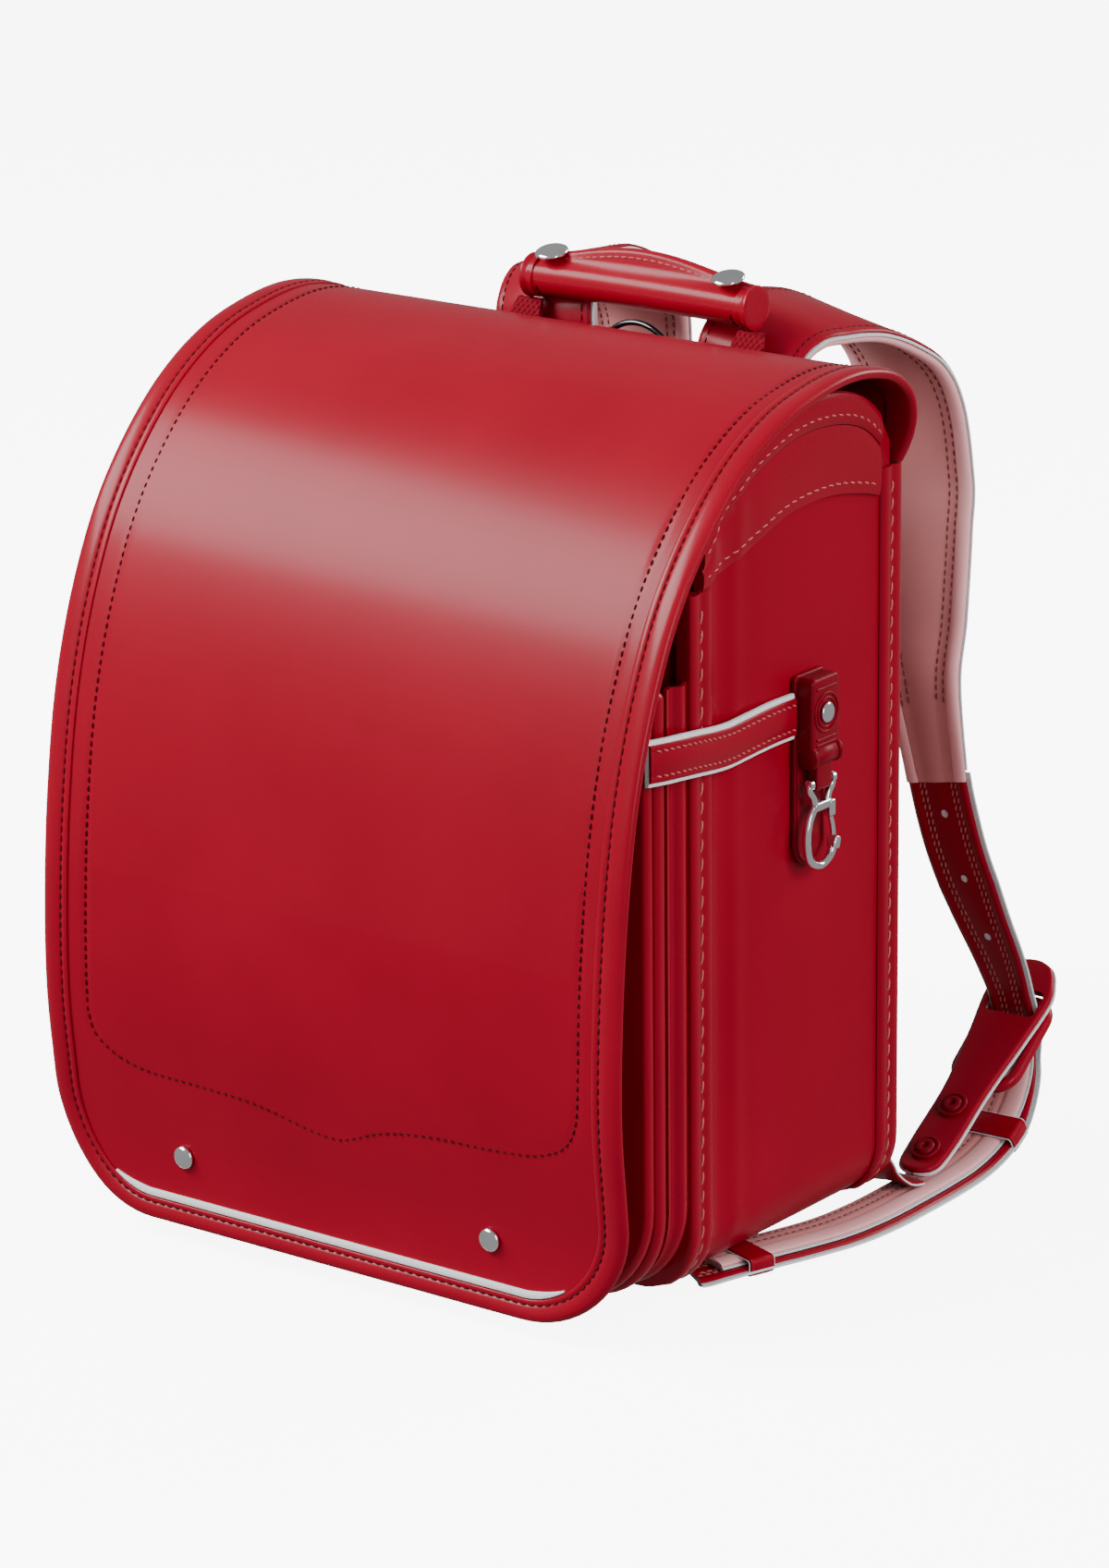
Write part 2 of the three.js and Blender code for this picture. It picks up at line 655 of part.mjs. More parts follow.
// The moulded mount: a plate with rounded ends, a raised block, a barrel and a tongue for the hook's pin
function addHookMount(side, sign) {
  const plateX = bodyHalfWidth + gap;
  const shape = new THREE.Shape();
  const half = hookPlateHalfWidth;
  shape.moveTo(-half, hookPlateBottom + half);
  shape.absarc(0, hookPlateBottom + half, half, Math.PI, Math.PI * 2, false);
  shape.lineTo(half, hookPlateTop - 2);
  shape.lineTo(half - 2, hookPlateTop);
  shape.lineTo(-half + 2, hookPlateTop);
  shape.lineTo(-half, hookPlateTop - 2);
  const plate = new THREE.ExtrudeGeometry(shape, {
    depth: hookPlateWall, curveSegments: 8, bevelEnabled: false,
  });
  const stand = new THREE.Matrix4().makeBasis(V(0, 1, 0), V(0, 0, 1), V(1, 0, 0));
  stand.setPosition(plateX, hookY, 0);
  let mount = toManifold(plate, stand);
  const side2d = new THREE.Shape();
  const out = plateX + hookPlateWall + hookBlockDepth;
  side2d.moveTo(plateX + 0.5, hookPlateTop - 0.6);
  side2d.lineTo(out - 1.6, hookPlateTop - 0.6);
  side2d.lineTo(out, hookPlateTop - 3);
  side2d.lineTo(out - 0.6, hookPlateTop - 23);
  side2d.lineTo(out - 1.8, hookPlateTop - 26);
  side2d.lineTo(plateX + 0.5, hookPlateTop - 30);
  const blockWidth = 2 * half - 1.6;
  const block = new THREE.ExtrudeGeometry(side2d, { depth: blockWidth, bevelEnabled: false });
  const blockStand = new THREE.Matrix4().makeBasis(V(1, 0, 0), V(0, 0, 1), V(0, -1, 0));
  blockStand.setPosition(0, hookY + blockWidth / 2, 0);
  mount = mount.add(toManifold(block, blockStand));
  const pivotX = bodyHalfWidth + hookPivotOut;
  const barrelZ = hookPivotZ + 10.5;
  const barrel = new THREE.CylinderGeometry(4, 4, 2 * half - 6, 10);
  mount = mount.add(toManifold(barrel, moved(pivotX, hookY, barrelZ)));
  const web = boxGeometry(5, 2 * half - 9, 7);
  mount = mount.add(toManifold(web, moved(pivotX - 2, hookY, barrelZ + 4)));
  const tongue = boxGeometry(3.6, 9.5, 15);
  mount = mount.add(toManifold(tongue, moved(pivotX, hookY, hookPivotZ + 4.5)));
  const hole = new THREE.CylinderGeometry(1.45, 1.45, 20, 8);
  mount = mount.subtract(toManifold(hole, moved(pivotX, hookY, hookPivotZ)));
  const mirror = new THREE.Matrix4().makeScale(sign, 1, 1);
  addMesh(`hook_mount_${side}`, mirrored(fromManifold(mount), mirror, sign), moulded);
  const rivetSeat = V(sign * (out - 0.25 + gap), hookY, hookPlateTop - 14);
  const rivet = placeOn(domeGeometry(hookRivetRadius, 1.4, 10), rivetSeat, V(sign, 0, 0.03));
  addMesh(`hook_rivet_${side}`, rivet, chrome);
}

// Mirrors a geometry across the middle of the bag and keeps its faces pointing out
function mirrored(geometry, mirror, sign) {
  if (sign > 0) {
    return geometry;
  }
  geometry.applyMatrix4(mirror);
  const index = geometry.index.array;
  for (let i = 0; i < index.length; i += 3) {
    [index[i], index[i + 1]] = [index[i + 1], index[i]];
  }
  return geometry;
}

// A round wire along a smooth course in the plane that faces sideways
function wireManifold(course, x, radius, steps, sides = 6) {
  const curve = new THREE.CatmullRomCurve3(course.map(([y, z]) => V(x, y, z)), false, 'centripetal');
  const rings = [];
  for (let i = 0; i <= steps; i += 1) {
    const t = i / steps;
    const point = curve.getPointAt(t);
    const along = curve.getTangentAt(t);
    const inPlane = along.clone().cross(across).normalize();
    const ring = [];
    for (let j = 0; j < sides; j += 1) {
      const a = j / sides * Math.PI * 2;
      ring.push(point.clone().addScaledVector(across, radius * Math.cos(a))
        .addScaledVector(inPlane, radius * Math.sin(a)));
    }
    rings.push(ring);
  }
  const section = rings[0].map((v, j) => {
    const a = j / sides * Math.PI * 2;
    return [Math.cos(a), Math.sin(a)];
  });
  return toManifold(closedGeometry(loft(rings, section)));
}

// The snap hook: a pin through the mount's tongue, two arms, a long loop and a nose that the gate meets
function addSnapHook(side, sign) {
  const x = bodyHalfWidth + hookPivotOut;
  const z = hookPivotZ;
  const y = hookY;
  const pin = new THREE.CylinderGeometry(1.1, 1.1, 14.5, 8);
  let hook = toManifold(pin, moved(x, y, z));
  const leftArm = [[y - 6.6, z + 0.6], [y - 7.2, z - 2], [y - 4.8, z - 5.5], [y - 3.6, z - 9]];
  const rightArm = [[y + 6.6, z + 0.6], [y + 7.2, z - 2], [y + 4.8, z - 5.5], [y + 3.6, z - 9]];
  hook = hook.add(wireManifold(leftArm, x, hookWire, 5));
  hook = hook.add(wireManifold(rightArm, x, hookWire, 5));
  hook = hook.add(toManifold(boxGeometry(3.6, 10.5, 3.4), moved(x, y, z - 9)));
  const loop = [[y - 4, z - 9], [y - 7.4, z - 14], [y - 8.6, z - 22], [y - 6.4, z - 29], [y, z - 32],
    [y + 6.2, z - 29.5], [y + 8.6, z - 25.5]];
  hook = hook.add(wireManifold(loop, x, hookWire + 0.1, 14));
  hook = hook.add(toManifold(boxGeometry(4.2, 3.6, 5), moved(x, y + 8.6, z - 25.2, [-0.25, 0, 0])));
  hook = hook.add(toManifold(boxGeometry(4.4, 3.4, 6.5), moved(x, y + 5.2, z - 11)));
  const mirror = new THREE.Matrix4().makeScale(sign, 1, 1);
  addMesh(`snap_hook_${side}`, mirrored(fromManifold(hook), mirror, sign), chrome);
  const gateCourse = [[y + 6.2, z - 14.25 - gap], [y + 7.4, z - 18], [y + 8.1, z - 22.2]];
  const gate = wireManifold(gateCourse, x, 1.0, 3);
  addMesh(`snap_gate_${side}`, mirrored(fromManifold(gate), mirror, sign), chrome);
}

// The handle: a leather tube whose stitched edge stands up as a ridge, highest in the middle
function addHandle() {
  const stations = [-1, -0.94, -0.8, -0.6, -0.35, 0, 0.35, 0.6, 0.8, 0.94, 1];
  const sides = 10;
  const section = [];
  for (let j = 0; j < sides; j += 1) {
    const a = j / sides * Math.PI * 2 + Math.PI / 2;
    section.push([Math.cos(a), Math.sin(a)]);
  }
  const rings = stations.map((share) => {
    const rise = 0.12 + 0.88 * Math.cos(share * Math.PI / 2) ** 1.5;
    const ridge = handleRadius + (handleRidge - handleRadius) * rise;
    const radius = handleRadius * (Math.abs(share) > 0.97 ? 0.9 : 1);
    return section.map(([c, s], j) => {
      const up = j === 0 ? ridge : radius * s;
      const back = j === 0 ? 1.2 : radius * c;
      return V(share * handleHalfLength, handleY + back, handleZ + up - 0.6 * share * share);
    });
  });
  addSolid('handle_grip', loft(rings, section), leather);
  for (const [side, sign] of [['left', -1], ['right', 1]]) {
    const outward = V(0, -0.25, 1).normalize();
    const seat = V(sign * handleRivetX, handleY, handleZ).addScaledVector(outward, handleRadius + rivetLift);
    addMesh(`handle_rivet_${side}`, placeOn(domeGeometry(handleRivetRadius, 2.6), seat, outward), chrome);
    const loopRows = [
      { y: handleY - 3.2, z: handleZ - handleRadius * 0.92 - 2.2 }, { y: handleY - 6.5, z: handleZ - 15 },
      { y: anchorY() - 4.5, z: handleZ - 26 }, { y: anchorY() - 4.2, z: anchorTop + gap },
    ];
    const grid = (front) => loopRows.map(({ y, z }, i) => {
      const half = (loopTopWidth + (loopBottomWidth - loopTopWidth) * Math.min(1, i / 2)) / 2;
      const centre = sign * (handleHalfLength - 0.5);
      return [-half, half].map((dx) => V(centre + dx, y + (front ? 0 : loopWall), z));
    });
    addSolid(`handle_loop_${side}`, wallSolid(grid(true), grid(false)), webbing);
  }
}

function anchorY() {
  return bodyBackY + boardWall + 2 * gap + padDepth + gap;
}

// The anchor plate on the back holds the straps, the handle's loops and the ring's bar
function addAnchor() {
  const y = anchorY();
  const shape = new THREE.Shape();
  const w = anchorHalfWidth;
  shape.moveTo(-w, anchorBottom + 8);
  shape.lineTo(-w + 8, anchorBottom);
  shape.lineTo(w - 8, anchorBottom);
  shape.lineTo(w, anchorBottom + 8);
  shape.lineTo(w, anchorTop);
  shape.lineTo(-w, anchorTop);
  const plate = new THREE.ExtrudeGeometry(shape, { depth: anchorWall, bevelEnabled: false });
  const stand = new THREE.Matrix4().makeBasis(V(1, 0, 0), V(0, 0, 1), V(0, -1, 0));
  stand.setPosition(0, y + anchorWall, 0);
  let anchor = toManifold(plate, stand);
  const shelfFront = bodyBackY + boardWall + 2 * gap;
  const shelf = boxGeometry(2 * w - 4, y + anchorWall - shelfFront, 2.4);
  anchor = anchor.add(toManifold(shelf, moved(0, (y + anchorWall + shelfFront) / 2, anchorTop - 1.2)));
  for (const sign of [-1, 1]) {
    const ear = boxGeometry(3.4, 6, ringBarZ - anchorTop + 3.5);
    const earX = sign * (ringHalfWidth - 6);
    const drill = new THREE.CylinderGeometry(1.65, 1.65, 12, 8);
    const hole = toManifold(drill, moved(earX, ringY, ringBarZ, [0, 0, Math.PI / 2]));
    const solidEar = toManifold(ear, moved(earX, ringY, (anchorTop + ringBarZ + 2.5) / 2 - 0.5));
    anchor = anchor.add(solidEar.subtract(hole));
  }
  addMesh('strap_anchor', fromManifold(anchor), nickel);
}

// The hanging ring: a D of wire, its straight bar in the anchor's two ears
function addRing() {
  const straight = ringTop - ringHalfWidth - ringBarZ;
  const course = [];
  for (let i = 0; i <= 10; i += 1) {
    const a = i / 10 * Math.PI;
    const r = ringHalfWidth - ringWire;
    course.push(V(r * Math.cos(a), ringY, ringBarZ + straight + r * Math.sin(a)));
  }
  const r = ringHalfWidth - ringWire;
  const bar = [
    V(-r, ringY, ringBarZ + 3), V(-r + 3, ringY, ringBarZ), V(0, ringY, ringBarZ), V(r - 3, ringY, ringBarZ),
    V(r, ringY, ringBarZ + 3),
  ];
  const path = course.concat(bar);
  const count = path.length;
  const sides = 6;
  const rings = path.map((point, i) => {
    const along = path[(i + 1) % count].clone().sub(path[(i - 1 + count) % count]).normalize();
    const inPlane = along.clone().cross(V(0, 1, 0)).normalize();
    const ring = [];
    for (let j = 0; j < sides; j += 1) {
      const a = j / sides * Math.PI * 2;
      ring.push(point.clone().addScaledVector(V(0, 1, 0), ringWire * Math.cos(a))
        .addScaledVector(inPlane, ringWire * Math.sin(a)));
    }
    return ring;
  });
  const section = rings[0].map((v, j) => [j, 0]);
  addSolid('hanging_ring', loft(rings, section, true), nickel);
}

// The straps' course. Columns: x, y, z, width share, roll in degrees, and how much higher the left strap stands
const strapCourse = [
  [45, 126.2, 291, 1, 0, 0], [45.3, 127, 304, 1, 2, 2], [46, 130, 320, 1, 8, 6], [47.5, 142, 329, 1, 14, 9],
  [49.5, 159, 329.5, 1, 15, 9], [52.5, 180, 325, 1, 13, 7], [56, 197, 315, 1, 10, 5], [60, 207.5, 303, 1, 7, 3],
  [64.5, 212, 287, 1, 5, 0], [70, 210.5, 259, 0.98, 3, 0], [75, 203, 239.7, 0.95, 2, 0],
  [84, 190.5, 207.7, 0.84, 0, 0], [89.5, 183.3, 187.8, 0.71, 0, 0], [96, 182.5, 152, 0.6, 0, 0],
];
const strapCourseOn = (sign) => strapCourse.map(([x, y, z, width, roll, lift]) => (
  sign > 0 ? [x, y, z, width, roll] : [x + lift * 0.7, y, z + lift, width, roll]));
// The holed belt's course down to the pad's slot. Columns: x, y, z
const upperBeltCourse = [
  [96.2, 182.55, 151.4], [97.6, 183.3, 143], [102.4, 186, 121], [109.4, 191, 97], [116.4, 197, 74],
  [119.4, 201.6, 57], [119.8, 204.2, 46],
];
// The lower belt's course, from the buckle forward under the bag. Columns: x, y, z
const lowerCourse = [
  [119, 201.6, 40], [119.6, 199.8, 31], [120.6, 193.6, 21.5], [121.3, 184.5, 13.6], [121.6, 173, 8.2],
  [121.8, 159, 5], [122.2, 142, 4], [122.8, 120, 3.9], [122.8, 98, 3.9], [120.6, 76, 4.05], [115.5, 55, 4.6],
  [109.6, 36, 5.05], [104, 20, 5.05],
];
// The end of the holed belt's free tail, beyond the lower belt
const tailEnd = [102.5, 12, 1.6];
const tailShift = 3.6;
const tailShares = [0.04, 0.1, 0.17, 0.25, 0.33, 0.41, 0.5, 0.58, 0.67, 0.75, 0.83, 0.92, 1];
// The pad's course, from its upper end down to the lower belt. Columns: x, y, z, width share
const padCourse = [
  [120, 219, 69.2, 0.42], [120, 214, 65.4, 0.74], [120, 205, 58.6, 1], [120.3, 190, 47, 0.86],
  [120.8, 166.5, 30.6, 0.66], [121.3, 146.5, 18.2, 0.66], [121.8, 134.5, 12, 0.6],
  [122, 128.5, 10.05, 0.36],
];

// A band that follows a course, with its width along X apart from the roll, as rings for a loft
function bandRings(course, steps, sign, section, rollAt = () => 0) {
  const curve = new THREE.CatmullRomCurve3(course.map(([x, y, z]) => V(x, y, z)), false, 'centripetal');
  curve.arcLengthDivisions = 400;
  const rings = [];
  for (let i = 0; i <= steps; i += 1) {
    const share = i / steps;
    const point = curve.getPoint(share);
    const along = curve.getTangent(share);
    const roll = rollAt(share) * Math.PI / 180;
    const lean = V(Math.cos(roll), 0, -Math.sin(roll));
    const wide = lean.addScaledVector(along, -lean.dot(along)).normalize();
    const out = wide.clone().cross(along).normalize();
    rings.push(section(share).map(([w, h]) => {
      const place = point.clone().addScaledVector(wide, w).addScaledVector(out, h);
      place.x *= sign;
      return place;
    }));
  }
  return rings;
}

// The whole holed belt: down to the slot, then as a tail along the outside of the lower belt
function holedCourse() {
  const spacing = (beltWall + lowerBeltWall) / 2 + 0.25;
  const tail = tailShares.map((share) => {
    const { point, out } = frameAt(lowerCourse, share, 1);
    const place = point.addScaledVector(out, spacing);
    return [place.x + tailShift * Math.min(1, share * 4), place.y, place.z];
  });
  return upperBeltCourse.concat(tail, [tailEnd]);
}

function tableColumn(course, column) {
  const rows = course.map((row, i) => [i / (course.length - 1), row[column]]);
  return (share) => lookUp(rows, share);
}

function bandBody(course, steps, sign, section, rollAt) {
  return loft(bandRings(course, steps, sign, section, rollAt), section(0));
}

// A plain band of even width and thickness
const plain = (width, wall) => () => [[-width / 2, -wall / 2], [width / 2, -wall / 2], [width / 2, wall / 2],
  [-width / 2, wall / 2]];

function addShoulderStrap(side, sign) {
  const widthAt = tableColumn(strapCourse, 3);
  const rollAt = tableColumn(strapCourse, 4);
  const steps = 26;
  const outer = (share) => {
    const half = strapWidth * widthAt(share) / 2;
    return [[-half, 0], [half, 0], [half, strapWall], [-half, strapWall]];
  };
  const course = strapCourseOn(sign);
  addSolid(`shoulder_strap_${side}`, bandBody(course, steps, sign, outer, rollAt), leather);
  const inner = (share) => {
    const half = strapWidth * widthAt(share) / 2;
    const thin = share > 0.98 ? 0.45 : 1;
    return [[-half, -gap], [half, -gap], [half, -gap - liningWall * 0.55 * thin],
      [half * 0.8, -gap - liningWall * thin], [-half * 0.8, -gap - liningWall * thin],
      [-half, -gap - liningWall * 0.55 * thin]];
  };
  addSolid(`strap_lining_${side}`, bandBody(course, steps, sign, inner, rollAt), lining);
}

function coursePoint(course, share) {
  const curve = new THREE.CatmullRomCurve3(course.map(([x, y, z]) => V(x, y, z)), false, 'centripetal');
  return { point: curve.getPoint(share), along: curve.getTangent(share) };
}

function frameAt(course, share, sign) {
  const { point, along } = coursePoint(course, share);
  const wide = V(1, 0, 0).addScaledVector(along, -along.x).normalize();
  const out = wide.clone().cross(along).normalize();
  point.x *= sign;
  along.x *= sign;
  wide.x *= sign;
  out.x *= sign;
  return { point, along, wide, out };
}

// Where the holes of the belt lie, as shares of its course
const holeShares = [0.07, 0.125, 0.175];
// The belt narrows above the pad's slot. Columns: share of its course, width
const beltWidths = [[0, beltTopWidth], [0.13, beltTopWidth], [0.2, 22], [0.235, beltWidth], [1, beltWidth]];
function addBelt(side, sign) {
  const beltCourse = holedCourse();
  const section = (share) => plain(lookUp(beltWidths, share), beltWall)();
  const belt = bandBody(beltCourse, 40, sign, section);
  let solid = toManifold(closedGeometry(belt));
  for (const share of holeShares) {
    const { point, out } = frameAt(beltCourse, share, sign);
    const spin = new THREE.Quaternion().setFromUnitVectors(V(0, 1, 0), out);
    const drill = new THREE.Matrix4().compose(point, spin, V(1, 1, 1));
    solid = solid.subtract(toManifold(new THREE.CylinderGeometry(holeRadius, holeRadius, 12, 6), drill));
  }
  addMesh(`holed_belt_${side}`, fromManifold(solid), leather);
  addSolid(`lower_belt_${side}`, bandBody(lowerCourse, 26, sign, plain(lowerBeltWidth, lowerBeltWall)), lining);
}

// The pad that the holed belt passes through, the buckle under it and its two eyelets
function addBuckle(side, sign) {
  const widthAt = tableColumn(padCourse, 3);
  const section = (share) => {
    const half = padWidth * widthAt(share) / 2;
    return [[-half, -padWall / 2], [half, -padWall / 2], [half, padWall / 2], [-half, padWall / 2]];
  };
  const pad = toManifold(closedGeometry(bandBody(padCourse, 14, sign, section)));
  const slotAt = 0.31;
  const buckleAt = 0.425;
  const { point, along, wide, out } = frameAt(padCourse, slotAt, sign);
  const slotBox = boxGeometry(slotWidth, 14, slotLength);
  const basis = new THREE.Matrix4().makeBasis(wide, out, wide.clone().cross(out));
  basis.setPosition(point);
  addMesh(`buckle_pad_${side}`, fromManifold(pad.subtract(toManifold(slotBox, basis))), leather);
  const centre = frameAt(padCourse, buckleAt, sign);
  const drop = padWall / 2 + gap + buckleBar;
  const middle = centre.point.clone().addScaledVector(centre.out, drop);
  const halfWide = buckleWidth / 2 - buckleBar;
  const halfLong = buckleLength / 2 - buckleBar;
  const corners = [];
  for (const [cx, cy, start] of [[1, 1, 0], [-1, 1, 1], [-1, -1, 2], [1, -1, 3]]) {
    for (const turn of [0.1, 0.5, 0.9]) {
      const a = (start + turn) * Math.PI / 2;
      corners.push([
        cx * (halfWide - buckleCorner) + buckleCorner * Math.cos(a),
        cy * (halfLong - buckleCorner) + buckleCorner * Math.sin(a),
      ]);
    }
  }
  const sides = 6;
  const rings = corners.map(([u, v], i) => {
    const [u0, v0] = corners[(i - 1 + corners.length) % corners.length];
    const [u1, v1] = corners[(i + 1) % corners.length];
    const tangent = new THREE.Vector2(u1 - u0, v1 - v0).normalize();
    const ring = [];
    for (let j = 0; j < sides; j += 1) {
      const a = j / sides * Math.PI * 2;
      const inPlane = buckleBar * Math.cos(a);
      ring.push(middle.clone().addScaledVector(centre.wide, u + tangent.y * inPlane)
        .addScaledVector(centre.along, v - tangent.x * inPlane)
        .addScaledVector(centre.out, buckleBar * Math.sin(a)));
    }
    return ring;
  });
  addSolid(`buckle_${side}`, loft(rings, rings[0].map((v, j) => [j, 0]), true), moulded);
  for (const [place, share] of [['upper', 0.62], ['lower', 0.79]]) {
    const frame = frameAt(padCourse, share, sign);
    const seat = frame.point.clone().addScaledVector(frame.out, -padWall / 2 - gap);
    const eyelet = placeOn(domeGeometry(eyeletRadius, 2.6, 10), seat, frame.out.negate());
    addMesh(`pad_eyelet_${place}_${side}`, eyelet, moulded);
  }
}

// A keeper: a flat loop of leather round both belts
function addKeeper(name, share, slack, sign) {
  const belt = frameAt(lowerCourse, share, sign);
  const stack = beltWall + lowerBeltWall + 0.5 + slack;
  const across2 = beltWidth + keeperPlay;
  const outer = boxGeometry(across2, stack + 2 * keeperWall, keeperLength);
  const inner = boxGeometry(across2 - 2 * keeperWall, stack, keeperLength * 2);
  const middle = belt.point.clone().addScaledVector(belt.out, belt.out.z > 0 ? -1.2 : 1.2);
  middle.x += sign * tailShift / 2;
  const basis = new THREE.Matrix4().makeBasis(belt.wide, belt.out, belt.wide.clone().cross(belt.out));
  basis.setPosition(middle);
  const solid = toManifold(outer, basis).subtract(toManifold(inner, basis));
  addMesh(name, fromManifold(solid), leather);
}

// The root: a short tab from the lower back corner of the bag to the lower belt
function addBeltRoot(side, sign) {
  const course = [[113, bodyBackY + edgingDepth + gap + 1.9, 17.5], [115, 118.6, 11.8], [118, 123, 8],
    [120, 130, 6.7]];
  addSolid(`belt_root_${side}`, bandBody(course, 5, sign, plain(17, 1.8)), leather);
}

addBody();
addPockets();
addFlap();
addFlapBinding();
addReflector();
addFlapRivets();
addClasp();
addYokes();
addSideBands();
addHandle();
addAnchor();
addRing();
for (const [side, sign] of [['left', -1], ['right', 1]]) {
  addHookMount(side, sign);
  addSnapHook(side, sign);
  addShoulderStrap(side, sign);
  addBelt(side, sign);
  addBuckle(side, sign);
  addBeltRoot(side, sign);
  addKeeper(`upper_keeper_${side}`, 0.27, 1.6, sign);
  addKeeper(`lower_keeper_${side}`, 0.93, 0, sign);
}

export default ransel;
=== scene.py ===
# %% [markdown]
# A Japanese school backpack of glossy red leather stands on its own tucked belts.
# The solid model gives where every piece is. This script dresses it: smooth leather over the
# faceted solids, real stitches, padded linings, plated metal, and the light of a photo studio.
# Every length below is in millimetres, and is turned into metres when a mesh is made.

import json
import math

import bmesh
import bpy
import numpy as np
from mathutils import Matrix

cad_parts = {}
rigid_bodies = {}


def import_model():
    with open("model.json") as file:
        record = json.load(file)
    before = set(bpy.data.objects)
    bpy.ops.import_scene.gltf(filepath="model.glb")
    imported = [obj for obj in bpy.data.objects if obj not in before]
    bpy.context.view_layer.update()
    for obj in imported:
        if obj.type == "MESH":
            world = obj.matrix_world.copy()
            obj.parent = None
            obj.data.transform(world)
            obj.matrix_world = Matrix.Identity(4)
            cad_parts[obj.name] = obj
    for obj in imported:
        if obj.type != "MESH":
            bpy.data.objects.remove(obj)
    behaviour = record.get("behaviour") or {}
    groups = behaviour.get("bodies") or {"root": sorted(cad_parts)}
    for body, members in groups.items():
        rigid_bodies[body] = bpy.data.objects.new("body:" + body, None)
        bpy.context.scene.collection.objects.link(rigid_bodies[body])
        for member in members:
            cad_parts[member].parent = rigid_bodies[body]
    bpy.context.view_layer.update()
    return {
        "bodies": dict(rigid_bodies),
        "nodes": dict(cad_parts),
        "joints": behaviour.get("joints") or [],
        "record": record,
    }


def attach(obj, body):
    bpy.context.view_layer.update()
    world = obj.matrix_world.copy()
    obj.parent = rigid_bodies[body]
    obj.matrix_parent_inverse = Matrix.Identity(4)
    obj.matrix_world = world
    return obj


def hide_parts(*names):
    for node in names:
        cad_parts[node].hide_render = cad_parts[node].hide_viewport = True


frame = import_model()
MM = 0.001
SIDES = (("left", -1), ("right", 1))
print("nodes in the frame:", len(frame["nodes"]))

# %% [markdown]
# The camera comes first, because everything is judged through it. The photographer stood about
# two metres away with a long lens, a little above the bag and to its right. A camera is a place,
# a direction and a lens. The direction is written as the way back from the bag to the camera.

# %% Camera
CAMERA_PLACE = (1.32405, -1.67786, 0.83511)
TURN, RISE, TILT = math.radians(37.197), math.radians(17.258), math.radians(-0.589)
LENS, SHIFT_UP = 139.44, 0.0064

back = np.array([math.sin(TURN) * math.cos(RISE), -math.cos(TURN) * math.cos(RISE), math.sin(RISE)])
right = np.array([math.cos(TURN), math.sin(TURN), 0.0])
up = np.cross(back, right)
camera_x = right * math.cos(TILT) + up * math.sin(TILT)
camera_y = up * math.cos(TILT) - right * math.sin(TILT)

camera = bpy.data.objects.new("camera", bpy.data.cameras.new("camera"))
bpy.context.scene.collection.objects.link(camera)
axes = np.column_stack([camera_x, camera_y, back])
placement = np.eye(4)
placement[:3, :3] = axes
placement[:3, 3] = CAMERA_PLACE
camera.matrix_world = Matrix(placement.tolist())
camera.data.lens = LENS
camera.data.shift_y = SHIFT_UP
camera.data.clip_end = 60
bpy.context.scene.camera = camera
print("camera at", CAMERA_PLACE)

# %% [markdown]
# A finish is a recipe of shader nodes. Wiring nodes by hand is long to write and hard to read,
# so a small class wraps a socket and lets Python's own signs add the nodes: grain * 0.5 + 1 is
# then a multiply node and an add node. Vectors take the same signs through Vector Math.


# %% Shader sums
class Link:
    """A shader socket that takes Python's arithmetic signs."""

    def __init__(self, recipe, socket):
        self.recipe = recipe
        self.socket = socket

    def sum(self, operation, first, second=None):
        vectors = [v for v in (first, second) if isinstance(v, Link) and v.socket.type == "VECTOR"]
        kind = "ShaderNodeVectorMath" if vectors else "ShaderNodeMath"
        values = {0: first} if second is None else {0: first, 1: second}
        if vectors:
            values = {k: (v,) * 3 if isinstance(v, (int, float)) else v for k, v in values.items()}
        return self.recipe.node(kind, {"operation": operation}, values)

    def __add__(self, other):
        return self.sum("ADD", self, other)

    def __radd__(self, other):
        return self.sum("ADD", other, self)

    def __sub__(self, other):
        return self.sum("SUBTRACT", self, other)

    def __rsub__(self, other):
        return self.sum("SUBTRACT", other, self)

    def __mul__(self, other):
        return self.sum("MULTIPLY", self, other)

    def __rmul__(self, other):
        return self.sum("MULTIPLY", other, self)

    def sine(self):
        return self.sum("SINE", self)


print("signs that a socket takes: + - *")

# %% [markdown]
# A recipe holds one material while it is made. Its method node adds any shader node: the kind of
# node first, then its settings, then its sockets. The methods after it are the few things that
# nearly all finishes of this bag use, such as a noise, a mix of two colours and a bump.

# %% Recipes
NOISE_LOW, NOISE_HIGH = 0.3, 0.7  # a noise seldom leaves this span


